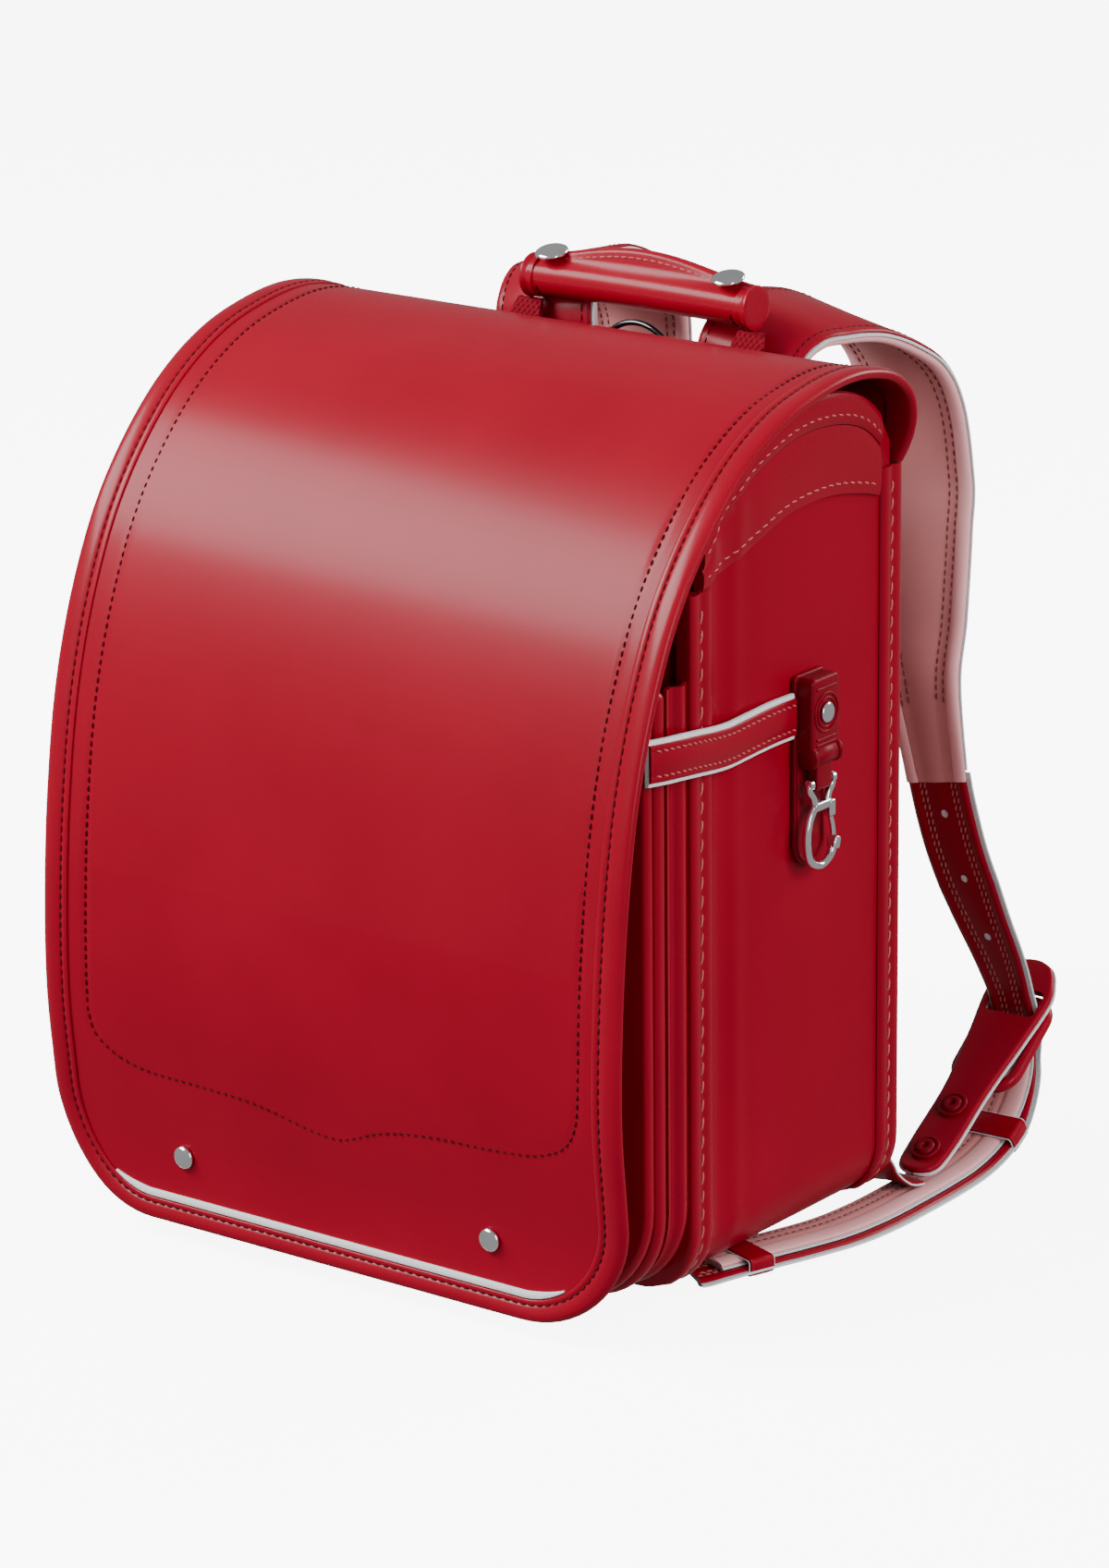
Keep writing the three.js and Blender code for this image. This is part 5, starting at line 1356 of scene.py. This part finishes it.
for side, sign in SIDES:
    plate = rounded(PLATE_HALF, PLATE_LOW, PLATE_HIGH, low_corner=9.4, high_corner=2.2, turns=14)
    shape = slab(Shape(), plate, PLATE_DEEP, 0.7, on_side(PLATE_X))
    rim = [(PLATE_X + PLATE_DEEP, HOOK_Y + u, v) for u, v in plate(1.5)]
    tube(shape, rim, 0.65, X_AXIS, closed=True, sides=10)
    face = rounded(BLOCK_HALF, BLOCK_LOW, BLOCK_HIGH, low_corner=3.4, high_corner=2.4)
    slab(shape, face, BLOCK_FACE - BLOCK_BACK, 1.3, on_side(BLOCK_BACK))
    for radius in ROUND_RIDGES:
        arc = [(BLOCK_FACE, HOOK_Y + radius * math.cos(a), RIVET_Z + radius * math.sin(a))
               for a in round_angles(40)]
        tube(shape, arc, RIDGE, X_AXIS, closed=True, sides=8)
    for height in FLAT_RIDGES:
        tube(shape, [(BLOCK_FACE, HOOK_Y + y, height) for y in np.linspace(-6, 6, 5)], RIDGE,
             X_AXIS, sides=8)
    for start, profile in ((-6.5, HUB), (-8.6, HUB_COLLAR), (6.7, HUB_COLLAR)):
        lathe(shape, (PIVOT_X, HOOK_Y + start, HUB_Z), Y_AXIS, profile)
    block(shape, (129, HOOK_Y, 201), (10, 7, 5), SIDE_AXES)
    make(f"hook_base_{side}", flipped(shape, sign), moulded_red, nodes=(f"hook_mount_{side}",),
         slot="moulded")
    outline = rounded(TONGUE_HALF, TONGUE_LOW, TONGUE_HIGH, low_corner=1.79, high_corner=0.5,
                      turns=8)
    front = HOOK_Y - TONGUE_DEEP / 2
    tongue = slab(Shape(), outline, TONGUE_DEEP, 0.5,
                  lambda u, v, far: (PIVOT_X + u, front + far, v))
    pin_hole = drill((PIVOT_X, HOOK_Y - 10, PIVOT_Z), Y_AXIS, PIN_HOLE, 20)
    bored(make(f"hook_tongue_{side}", flipped(tongue, sign), moulded_red, slot="moulded"),
          flipped(pin_hole, sign))
    rivet(f"hook_rivet_head_{side}", (sign * 133.85, HOOK_Y, RIVET_Z), (sign, 0, 0.03),
          radius=3.8, height=1.4, node=f"hook_rivet_{side}")
print("hook mounts done")

# %% [markdown]
# The snap hook is cast and plated: a pin, two arms that close into a neck, and a loop that ends
# in a nose. The gate is a thin bar inside the loop. All are wires of one thickness each, so a
# tube along a spline is the natural way. Hook and gate ride on bodies of their own.

# %% Snap hooks
ARM = ((6.6, 0.6), (7.2, -2), (4.8, -5.5), (3.6, -9))
HOOK_LOOP = ((-4, -9), (-7.4, -14), (-8.6, -22), (-6.4, -29), (0, -32), (6.2, -29.5), (8.6, -25.5))
GATE_BAR = ((6.2, -14.6), (7.4, -18), (8.1, -22.1))
PIN = ((0.8, 0), (1.1, 0.3), (1.1, 14.2), (0.8, 14.5))
PIN_HEAD = ((1.4, 0), (2, 0.4), (2, 1.8), (1.4, 2.2))
ARM_WIRE, LOOP_WIRE, GATE_WIRE, NOSE_LEAN = 1.4, 1.55, 1.0, 0.25


def hook_wire(shape, course, radius, steps=50):
    path = spline([(PIVOT_X, HOOK_Y + y, PIVOT_Z + z) for y, z in course], np.linspace(0, 1, steps))
    return tube(shape, path, radius, X_AXIS, sides=18)


for side, sign in SIDES:
    shape = lathe(Shape(), (PIVOT_X, HOOK_Y - 7.25, PIVOT_Z), Y_AXIS, PIN, 20)
    for way in (-1, 1):
        hook_wire(shape, [(way * y, z) for y, z in ARM], ARM_WIRE)
        lathe(shape, (PIVOT_X, HOOK_Y + way * 6.9 - 1.1, PIVOT_Z), Y_AXIS, PIN_HEAD, 24)
    block(shape, (PIVOT_X, HOOK_Y, PIVOT_Z - 9), (10.5, 3.4, 3.6), SIDE_AXES, 0.9, 1.3)
    hook_wire(shape, HOOK_LOOP, LOOP_WIRE, 90)
    turn, rise = math.cos(NOSE_LEAN), math.sin(NOSE_LEAN)
    lean = ((0, turn, -rise), (0, rise, turn), X_AXIS)
    block(shape, (PIVOT_X, HOOK_Y + 8.6, PIVOT_Z - 25.2), (3.6, 5, 4.2), lean, 0.9, 1.2)
    block(shape, (PIVOT_X, HOOK_Y + 5.2, PIVOT_Z - 11), (3.4, 6.5, 4.4), SIDE_AXES, 0.8, 1.0)
    make(f"hook_cast_{side}", flipped(shape, sign), chrome, f"hook_{side}",
         nodes=(f"snap_hook_{side}",), slot="chrome")
    gate = flipped(hook_wire(Shape(), GATE_BAR, GATE_WIRE, 16), sign)
    make(f"gate_bar_{side}", gate, chrome, f"gate_{side}", nodes=(f"snap_gate_{side}",),
         slot="chrome")
print("snap hooks done")

# %% [markdown]
# The handle is leather rolled round a core. The edge where the roll is sewn stands up as a fin,
# highest in the middle. A cylinder with a fin joined to it would show a crease, so here one
# section, which changes along the handle, draws both. Both ends have a turned collar.

# %% Handle
HANDLE_HALF, HANDLE_Y, HANDLE_Z, HANDLE_RADIUS, RIDGE_RISE = 52, 125, 338.5, 7.4, 7.6


def handle_top(share):
    return HANDLE_RADIUS + RIDGE_RISE * (0.12 + 0.88 * max(math.cos(share * math.pi / 2), 0) ** 1.5)


def handle_ring(share):
    top = handle_top(share)
    round_part = [(HANDLE_RADIUS * math.sin(a), HANDLE_RADIUS * math.cos(a))
                  for a in np.radians(np.linspace(42, 180, 18))]
    fin = [(0.7, top), (1.7, top - 0.5), (2.1, top - 1.5), (2.2, 0.4 * top + 0.6 * 6.6),
           (2.9, 0.12 * top + 0.88 * 6.4)]
    half = fin + round_part
    points = half + [(-y, z) for y, z in half[::-1][1:]]
    lean = [1.2 * max(0.0, z - 5) / (top - 5) for _, z in points]
    return [(share * HANDLE_HALF, HANDLE_Y + y + tilt, HANDLE_Z + z - 0.6 * share * share)
            for (y, z), tilt in zip(points, lean)]


roll = Shape().loft([handle_ring(s) for s in np.linspace(-1, 1, 90)])
make("handle_roll", roll, binding_leather, sharp=65, nodes=("handle_grip",), slot="leather")
collars, ridge_rows, collar_rows = Shape(), Shape(), Shape()
COLLAR = ((7.5, 0), (8.0, 0.3), (8.1, 1.2), (7.8, 2.4), (7.9, 3.6), (8.6, 4.6), (8.5, 5.4),
          (7.6, 5.7), (6, 5.6))
COLLAR_Z, COLLAR_SEAM, RIVET_STAND, RIVET_LEAN = HANDLE_Z - 0.5, 7.5, 9.7, unit((0, -0.25, 1))
for side, sign in SIDES:
    lathe(collars, (sign * 46.8, HANDLE_Y, COLLAR_Z), (sign, 0, 0), COLLAR, 40)
    ring = [(sign * 45.2, HANDLE_Y + COLLAR_SEAM * math.cos(a),
             COLLAR_Z + COLLAR_SEAM * math.sin(a))
            for a in np.linspace(-2.9, -0.2, 30)]
    sew(collar_rows, ring, [(0, y - HANDLE_Y, z - HANDLE_Z) for _, y, z in ring],
        pitch=3.0, length=2.4, thick=0.7)
    place = np.array((sign * 41, HANDLE_Y, HANDLE_Z)) + RIVET_LEAN * RIVET_STAND
    rivet(f"handle_rivet_head_{side}", place, RIVET_LEAN, radius=6.5, height=2.6,
          node=f"handle_rivet_{side}")
for way in (-1, 1):
    line = [(s * HANDLE_HALF, HANDLE_Y + 0.9 + way * 2.2, HANDLE_Z + handle_top(s) - 3.0)
            for s in np.linspace(-0.7, 0.7, 60)]
    sew(ridge_rows, line, (0, way, 0), pitch=3.4, length=2.7, thick=0.75)
make("handle_collars", collars, binding_leather, slot="leather")
make("handle_ridge_stitches", ridge_rows, light_thread)
make("handle_collar_stitches", collar_rows, dark_thread)
print("handle done")

# %% [markdown]
# Webbing loops carry the handle, and a plated plate on the back carries straps, loops and ring.
# The loops widen downwards, where they pass behind the plate. Webbing is a thin sheet, the plate
# a slab, and the ring a closed wire whose lower run lies in the holes of two ears.

# %% Loops, anchor and ring
LOOP_ROWS = ((5.5, 121.8, 329.5), (7, 118.5, 323.5), (8.5, 116.4, 312.5), (8.5, 116.7, 289.3))
ANCHOR_Y, ANCHOR_DEEP, ANCHOR_HALF, ANCHOR_LOW, ANCHOR_HIGH = 120.9, 3, 68, 258, 289
ANCHOR_BACK = ANCHOR_Y + ANCHOR_DEEP
RING_Y, RING_R, RING_Z, BAR_Z, RING_WIRE = 121, 18.3, 308.2, 296, 1.2
EAR_X, EAR_HOLE = 13.5, 1.65
for side, sign in SIDES:
    line = spline(LOOP_ROWS, np.linspace(0, 1, 40))
    front, rear = ([[(sign * 51.5 + half * t, y + deep + 0.25 * abs(t) ** 6, z)
                     for t in np.linspace(-1, 1, 9)]
                    for half, y, z in line] for deep in (0, 2))
    make(f"handle_tape_{side}", Shape().wall(front, rear), tape_red, nodes=(f"handle_loop_{side}",),
         slot="webbing")
    ear = block(Shape(), (EAR_X, RING_Y, 293.2), (6, 10.6, 3.4), SIDE_AXES, 0.5, 2.0)
    bar_hole = drill((EAR_X - 5, RING_Y, BAR_Z), X_AXIS, EAR_HOLE, 10)
    bored(make(f"ring_ear_{side}", flipped(ear, sign), black_nickel, slot="nickel"),
          flipped(bar_hole, sign))
outline = rounded(ANCHOR_HALF, ANCHOR_LOW, ANCHOR_HIGH, low_corner=8, high_corner=1)
shape = slab(Shape(), outline, ANCHOR_DEEP, 0.7, lambda u, v, far: (u, ANCHOR_Y + far, v))
block(shape, (0, (ANCHOR_BACK + pad_front) / 2, ANCHOR_HIGH - 1.2),
      (2 * ANCHOR_HALF - 4, 2.4, ANCHOR_BACK - pad_front), (X_AXIS, Z_AXIS, Y_AXIS), 0.5, 0.8)
make("anchor_plate", shape, black_nickel, nodes=("strap_anchor",), slot="nickel")
loop = [(RING_R * math.cos(a), RING_Y, RING_Z + RING_R * math.sin(a))
        for a in np.linspace(0, math.pi, 60)]
for way, turns in ((-1, np.linspace(math.pi, 1.5 * math.pi, 8)),
                   (1, np.linspace(1.5 * math.pi, 2 * math.pi, 8))):
    loop += [(way * (RING_R - 3) + 3 * math.cos(a), RING_Y, BAR_Z + 3 + 3 * math.sin(a))
             for a in turns]
make("ring_wire", tube(Shape(), loop, RING_WIRE, Y_AXIS, closed=True), black_nickel, "ring",
     nodes=("hanging_ring",), slot="nickel")
print("loops, anchor and ring done")

# %% [markdown]
# Each belt passes through a pad. The pad is thick glossy leather, lobed at its top, with a slot
# for the belt, two moulded eyelets and a pale edge under it. Behind the slot sits the buckle, a
# round moulded frame. The pad could be a flat shape bent by a modifier. It is a band like the
# belts instead, so that it follows the same course, and its slot is cut by a real hole.

# %% Pad sections
SLOT_SHARE, SLOT_WIDE, SLOT_LONG, BUCKLE_SHARE = 0.31, 23, 12.5, 0.425
BUCKLE_WIDE, BUCKLE_LONG, BUCKLE_BAR, BUCKLE_CORNER = 31, 46, 2.5, 8
pad_shares = np.concatenate([[0, 0.004, 0.012], np.linspace(0.025, 0.975, 110), [0.988, 0.996, 1]])
pad_width = width_of(PAD_COURSE)


def end_round(share):
    near = min(1.0, share / 0.025, (1 - share) / 0.025)
    return math.sqrt(max(0.0, 1 - (1 - near) ** 2)) * 0.5 + 0.5


def pad_half(share):
    lobe = math.sqrt(max(0.02, 1 - (1 - min(1.0, share / 0.07, (1 - share) / 0.07)) ** 2))
    return PAD_WIDE * float(pad_width(share)) / 2 * lobe


def pad_section(share):
    h, t = pad_half(share), PAD_WALL / 2 * end_round(share)
    under = mirrored(((-h, -0.1 * t), (-h + 0.2, -0.6 * t), (-h + 0.9, -0.93 * t), (-h + 2, -t)))
    return under + ((h - 0.3, 0.4 * t), (h - 0.9, t), (-h + 0.9, t), (-h + 0.3, 0.4 * t))


def pad_trim(share):
    h, t = pad_half(share) + 0.5, PAD_WALL / 2 * end_round(share)
    return ((-h, 0.05 * t), (h, 0.05 * t), (h, 0.6 * t), (h - 0.5, 0.8 * t), (-h + 0.5, 0.8 * t),
            (-h, 0.6 * t))


def frame_at(course, share):
    """The place, the way along, the way across and the way out at one share of a course."""
    return (part[0] for part in band_frames(course, [share]))


print("pad sections ready")

# %% Buckle pads
EYELET = ((5.7, 0), (6, 0.4), (5.9, 1.0), (5.4, 1.4), (4.7, 1.3), (4.4, 0.8), (3.9, 0.8),
          (3.6, 1.6), (3, 2.2), (1.9, 2.2), (1.3, 1.7), (1.1, 1), (0.02, 1))
UNDER_PAD = PAD_WALL / 2 + GAP
half_wide, half_long = BUCKLE_WIDE / 2 - BUCKLE_BAR, BUCKLE_LONG / 2 - BUCKLE_BAR
buckle_line = rounded(half_wide, -half_long, half_long, BUCKLE_CORNER, BUCKLE_CORNER, 12)(0)
for side, sign in SIDES:
    route = (PAD_COURSE, pad_shares, sign)
    face = band(f"pad_face_{side}", *route, pad_section, binding_leather, "leather",
                (f"buckle_pad_{side}",))
    trim = band(f"pad_trim_{side}", *route, pad_trim, white_trim, "leather")
    place, along, wide, out = frame_at(PAD_COURSE, SLOT_SHARE)
    for piece in (face, trim):
        slot = block(Shape(), place, (SLOT_WIDE, SLOT_LONG, 14), (wide, along, out), 0.1, 3.0)
        bored(piece, flipped(slot, sign))
    place, along, wide, out = frame_at(PAD_COURSE, BUCKLE_SHARE)
    centre = place + out * (UNDER_PAD + BUCKLE_BAR)
    bar = [centre + wide * u + along * v for u, v in buckle_line]
    ring = flipped(tube(Shape(), bar, BUCKLE_BAR, out, closed=True, sides=20), sign)
    make(f"buckle_frame_{side}", ring, binding_leather, nodes=(f"buckle_{side}",), slot="moulded")
    for level, share in (("upper", 0.62), ("lower", 0.79)):
        place, _, _, out = frame_at(PAD_COURSE, share)
        eyelet = flipped(lathe(Shape(), place - out * UNDER_PAD, -out, EYELET, 40), sign)
        make(f"eyelet_{level}_{side}", eyelet, moulded_red, nodes=(f"pad_eyelet_{level}_{side}",),
             slot="moulded")
print("buckle pads done")

# %% [markdown]
# A keeper is a short band of leather closed round both belts. A root tab ties each lower belt to
# the bag's lower back corner. Both show a thin grey edge, where their lining is cut. The band is
# a closed loft round the stack of belts, so it has no end to hide.

# %% Keepers and roots
KEEPER_WALL, KEEPER_WIDE = 0.9, BELT_WIDE + 6.3
KEEPER_SECTION = ((0, -5.5), (0.5, -5.5), (0.95, -5.0), (0.8, -4.2), (1.0, -3.4), (1.0, 3.4),
                  (0.8, 4.2), (0.95, 5.0), (0.5, 5.5), (0, 5.5))
KEEPER_TRIM = ((-0.05, -5.8), (0.35, -5.8), (0.35, 5.8), (-0.05, 5.8))
ROOT_COURSE = ((113, 115.7, 17.5), (115, 118.6, 11.8), (118, 123, 8), (120, 130, 6.7))
ROOT_SECTION = ((-8.2, -0.9), (-8.5, 0), (-8.2, 0.9), (8.2, 0.9), (8.5, 0), (8.2, -0.9))
ROOT_TRIM = ((-8.9, -0.3), (8.9, -0.3), (8.9, 0.3), (-8.9, 0.3))


def keeper(name, section, frame, route, sign, finish, nodes=()):
    """A band closed round both belts. Its section is (out, along) pairs."""
    middle, along, wide, out = frame
    turned = np.roll(route, -1, 0) - np.roll(route, 1, 0)
    normals = unit(np.column_stack([turned[:, 1], -turned[:, 0]]))
    rings = [[middle + wide * (u + nu * t) + out * (v + nv * t) + along * s for t, s in section]
             for (u, v), (nu, nv) in zip(route, normals)]
    make(name, flipped(Shape().loft(rings, closed=True), sign), finish, nodes=nodes, slot="leather")


for side, sign in SIDES:
    for level, share, slack in (("upper", 0.27, 1.6), ("lower", 0.93, 0)):
        place, along, wide, out = frame_at(LOWER_BELT, share)
        middle = place + out * (-1.2 if out[2] > 0 else 1.2) + X_AXIS * TAIL_SHIFT / 2
        stack = (BELT_WALL + LOWER_WALL + 0.5 + slack) / 2
        route = np.array(rounded(KEEPER_WIDE / 2 - KEEPER_WALL, -stack, stack, 1.2, 1.2, 6)(0))
        place = (middle, along, wide, out)
        keeper(f"{level}_keeper_band_{side}", KEEPER_SECTION, place, route, sign, binding_leather,
               (f"{level}_keeper_{side}",))
        keeper(f"{level}_keeper_trim_band_{side}", KEEPER_TRIM, place, route, sign, silver_trim)
    route = (ROOT_COURSE, np.linspace(0, 1, 40), sign)
    band(f"root_tab_{side}", *route, lambda share: ROOT_SECTION, binding_leather, "leather",
         (f"belt_root_{side}",))
    band(f"root_trim_{side}", *route, lambda share: ROOT_TRIM, silver_trim, "leather")
print("keepers and roots done")

# %% [markdown]
# Two chromed rivets hold the flap's inner fittings. They are wide and low, and they take the lamp
# as one clear spot each. They are turned bodies, like the rivets of the hooks and the handle.

# %% Flap rivets
FLAP_RIVET_X, FLAP_RIVET_UP, FLAP_RIVET_R = 72, 27, 4.5
rivet_reach = FLAP_LENGTH - FLAP_RIVET_UP
for side, sign in SIDES:
    place = flap_at(sign * FLAP_RIVET_X, rivet_reach, sheet_top - GAP)
    rivet(f"flap_rivet_head_{side}", place, flap_out(rivet_reach), FLAP_RIVET_R, height=2.4,
          node=f"flap_rivet_{side}")
print("flap rivets done")

# %% [markdown]
# The studio is a pale floor, a bright surround and a few large soft lamps. The long pale band
# across the flap is the picture of one big lamp above and to the left, and its soft ends come
# from the lamp's size. The lamp's place follows from the mirror rule at the flap's shoulder.

# %% Lamps
AIM = np.array((0.0, 0.0, 0.22))
LAMPS = (
    ("shoulder_lamp", (-1.25, -1.15, 1.62), 1.7, 0.9, 84, True),
    ("shoulder_fill", (-1.25, -1.15, 1.62), 1.7, 0.9, 42, False),
    ("front_lamp", (-0.6, -2.9, 1.1), 1.6, 1.6, 42, False),
    ("edge_lamp", (2.2, -1.2, 1.0), 0.4, 1.6, 20, True),
    ("side_lamp", (2.6, 0.3, 1.3), 1.2, 1.8, 88, False),
    ("back_lamp", (1.0, 2.4, 1.4), 1.4, 1.0, 40, True),
)
for name, place, width, height, power, mirrored_in_gloss in LAMPS:
    light = bpy.data.objects.new(name, bpy.data.lights.new(name, "AREA"))
    light.data.shape = "RECTANGLE"
    light.data.size, light.data.size_y, light.data.energy = width, height, power
    light.visible_glossy = mirrored_in_gloss
    bpy.context.scene.collection.objects.link(light)
    away = unit(place - AIM)
    side = unit(np.cross((0, 0, 1), away))
    placement = np.eye(4)
    placement[:3, :] = np.column_stack([side, np.cross(away, side), away, place])
    light.matrix_world = Matrix(placement.tolist())
print("lamps:", len(bpy.data.lights))

# %% [markdown]
# A photographer lays white paper under the bag and behind it. The paper here glows a little, so
# that it stays white without more light on the leather, and it leaves the leather's reflections
# and shading alone, or the red would look washed out from below.

# %% Paper and surround
world = bpy.data.worlds.new("surround")
bpy.context.scene.world = world
world.use_nodes = True
surround = world.node_tree.nodes["Background"].inputs
surround["Color"].default_value = (1, 1, 1, 1)
surround["Strength"].default_value = 0.32

paper = Recipe("floor_paper", specular_ior_level=0.0, emission_strength=7.0,
               emission_color=(1, 1, 1, 1))
tone = paper.mix(paper.noise(3, 2), (0.93, 0.93, 0.93), (0.95, 0.95, 0.95))
paper.set(Base_Color=tone, Roughness=paper.noise(80) * 0.1 + 0.85)
FLOOR_HALF, FLOOR_LEVEL = 15, -0.0008
corners = [(x * FLOOR_HALF, y * FLOOR_HALF, FLOOR_LEVEL)
           for x, y in ((-1, -1), (1, -1), (1, 1), (-1, 1))]
floor_mesh = bpy.data.meshes.new("floor")
floor_mesh.from_pydata(corners, [], [(0, 1, 2, 3)])
floor_mesh.materials.append(paper.material)
floor = bpy.data.objects.new("floor", floor_mesh)
bpy.context.scene.collection.objects.link(floor)
floor.visible_glossy = floor.visible_diffuse = False
print("paper laid, its half side in metres:", FLOOR_HALF)

# %% [markdown]
# The clasp is hidden under the flap, so its solid stays as it is and only gets its chrome. The last
# cell does that.

# %% Remaining nodes
for name, node in frame["nodes"].items():
    if not node.hide_render:
        node.data.materials.clear()
        node.data.materials.append(chrome)
        print("kept from the solid model, in chrome:", name)
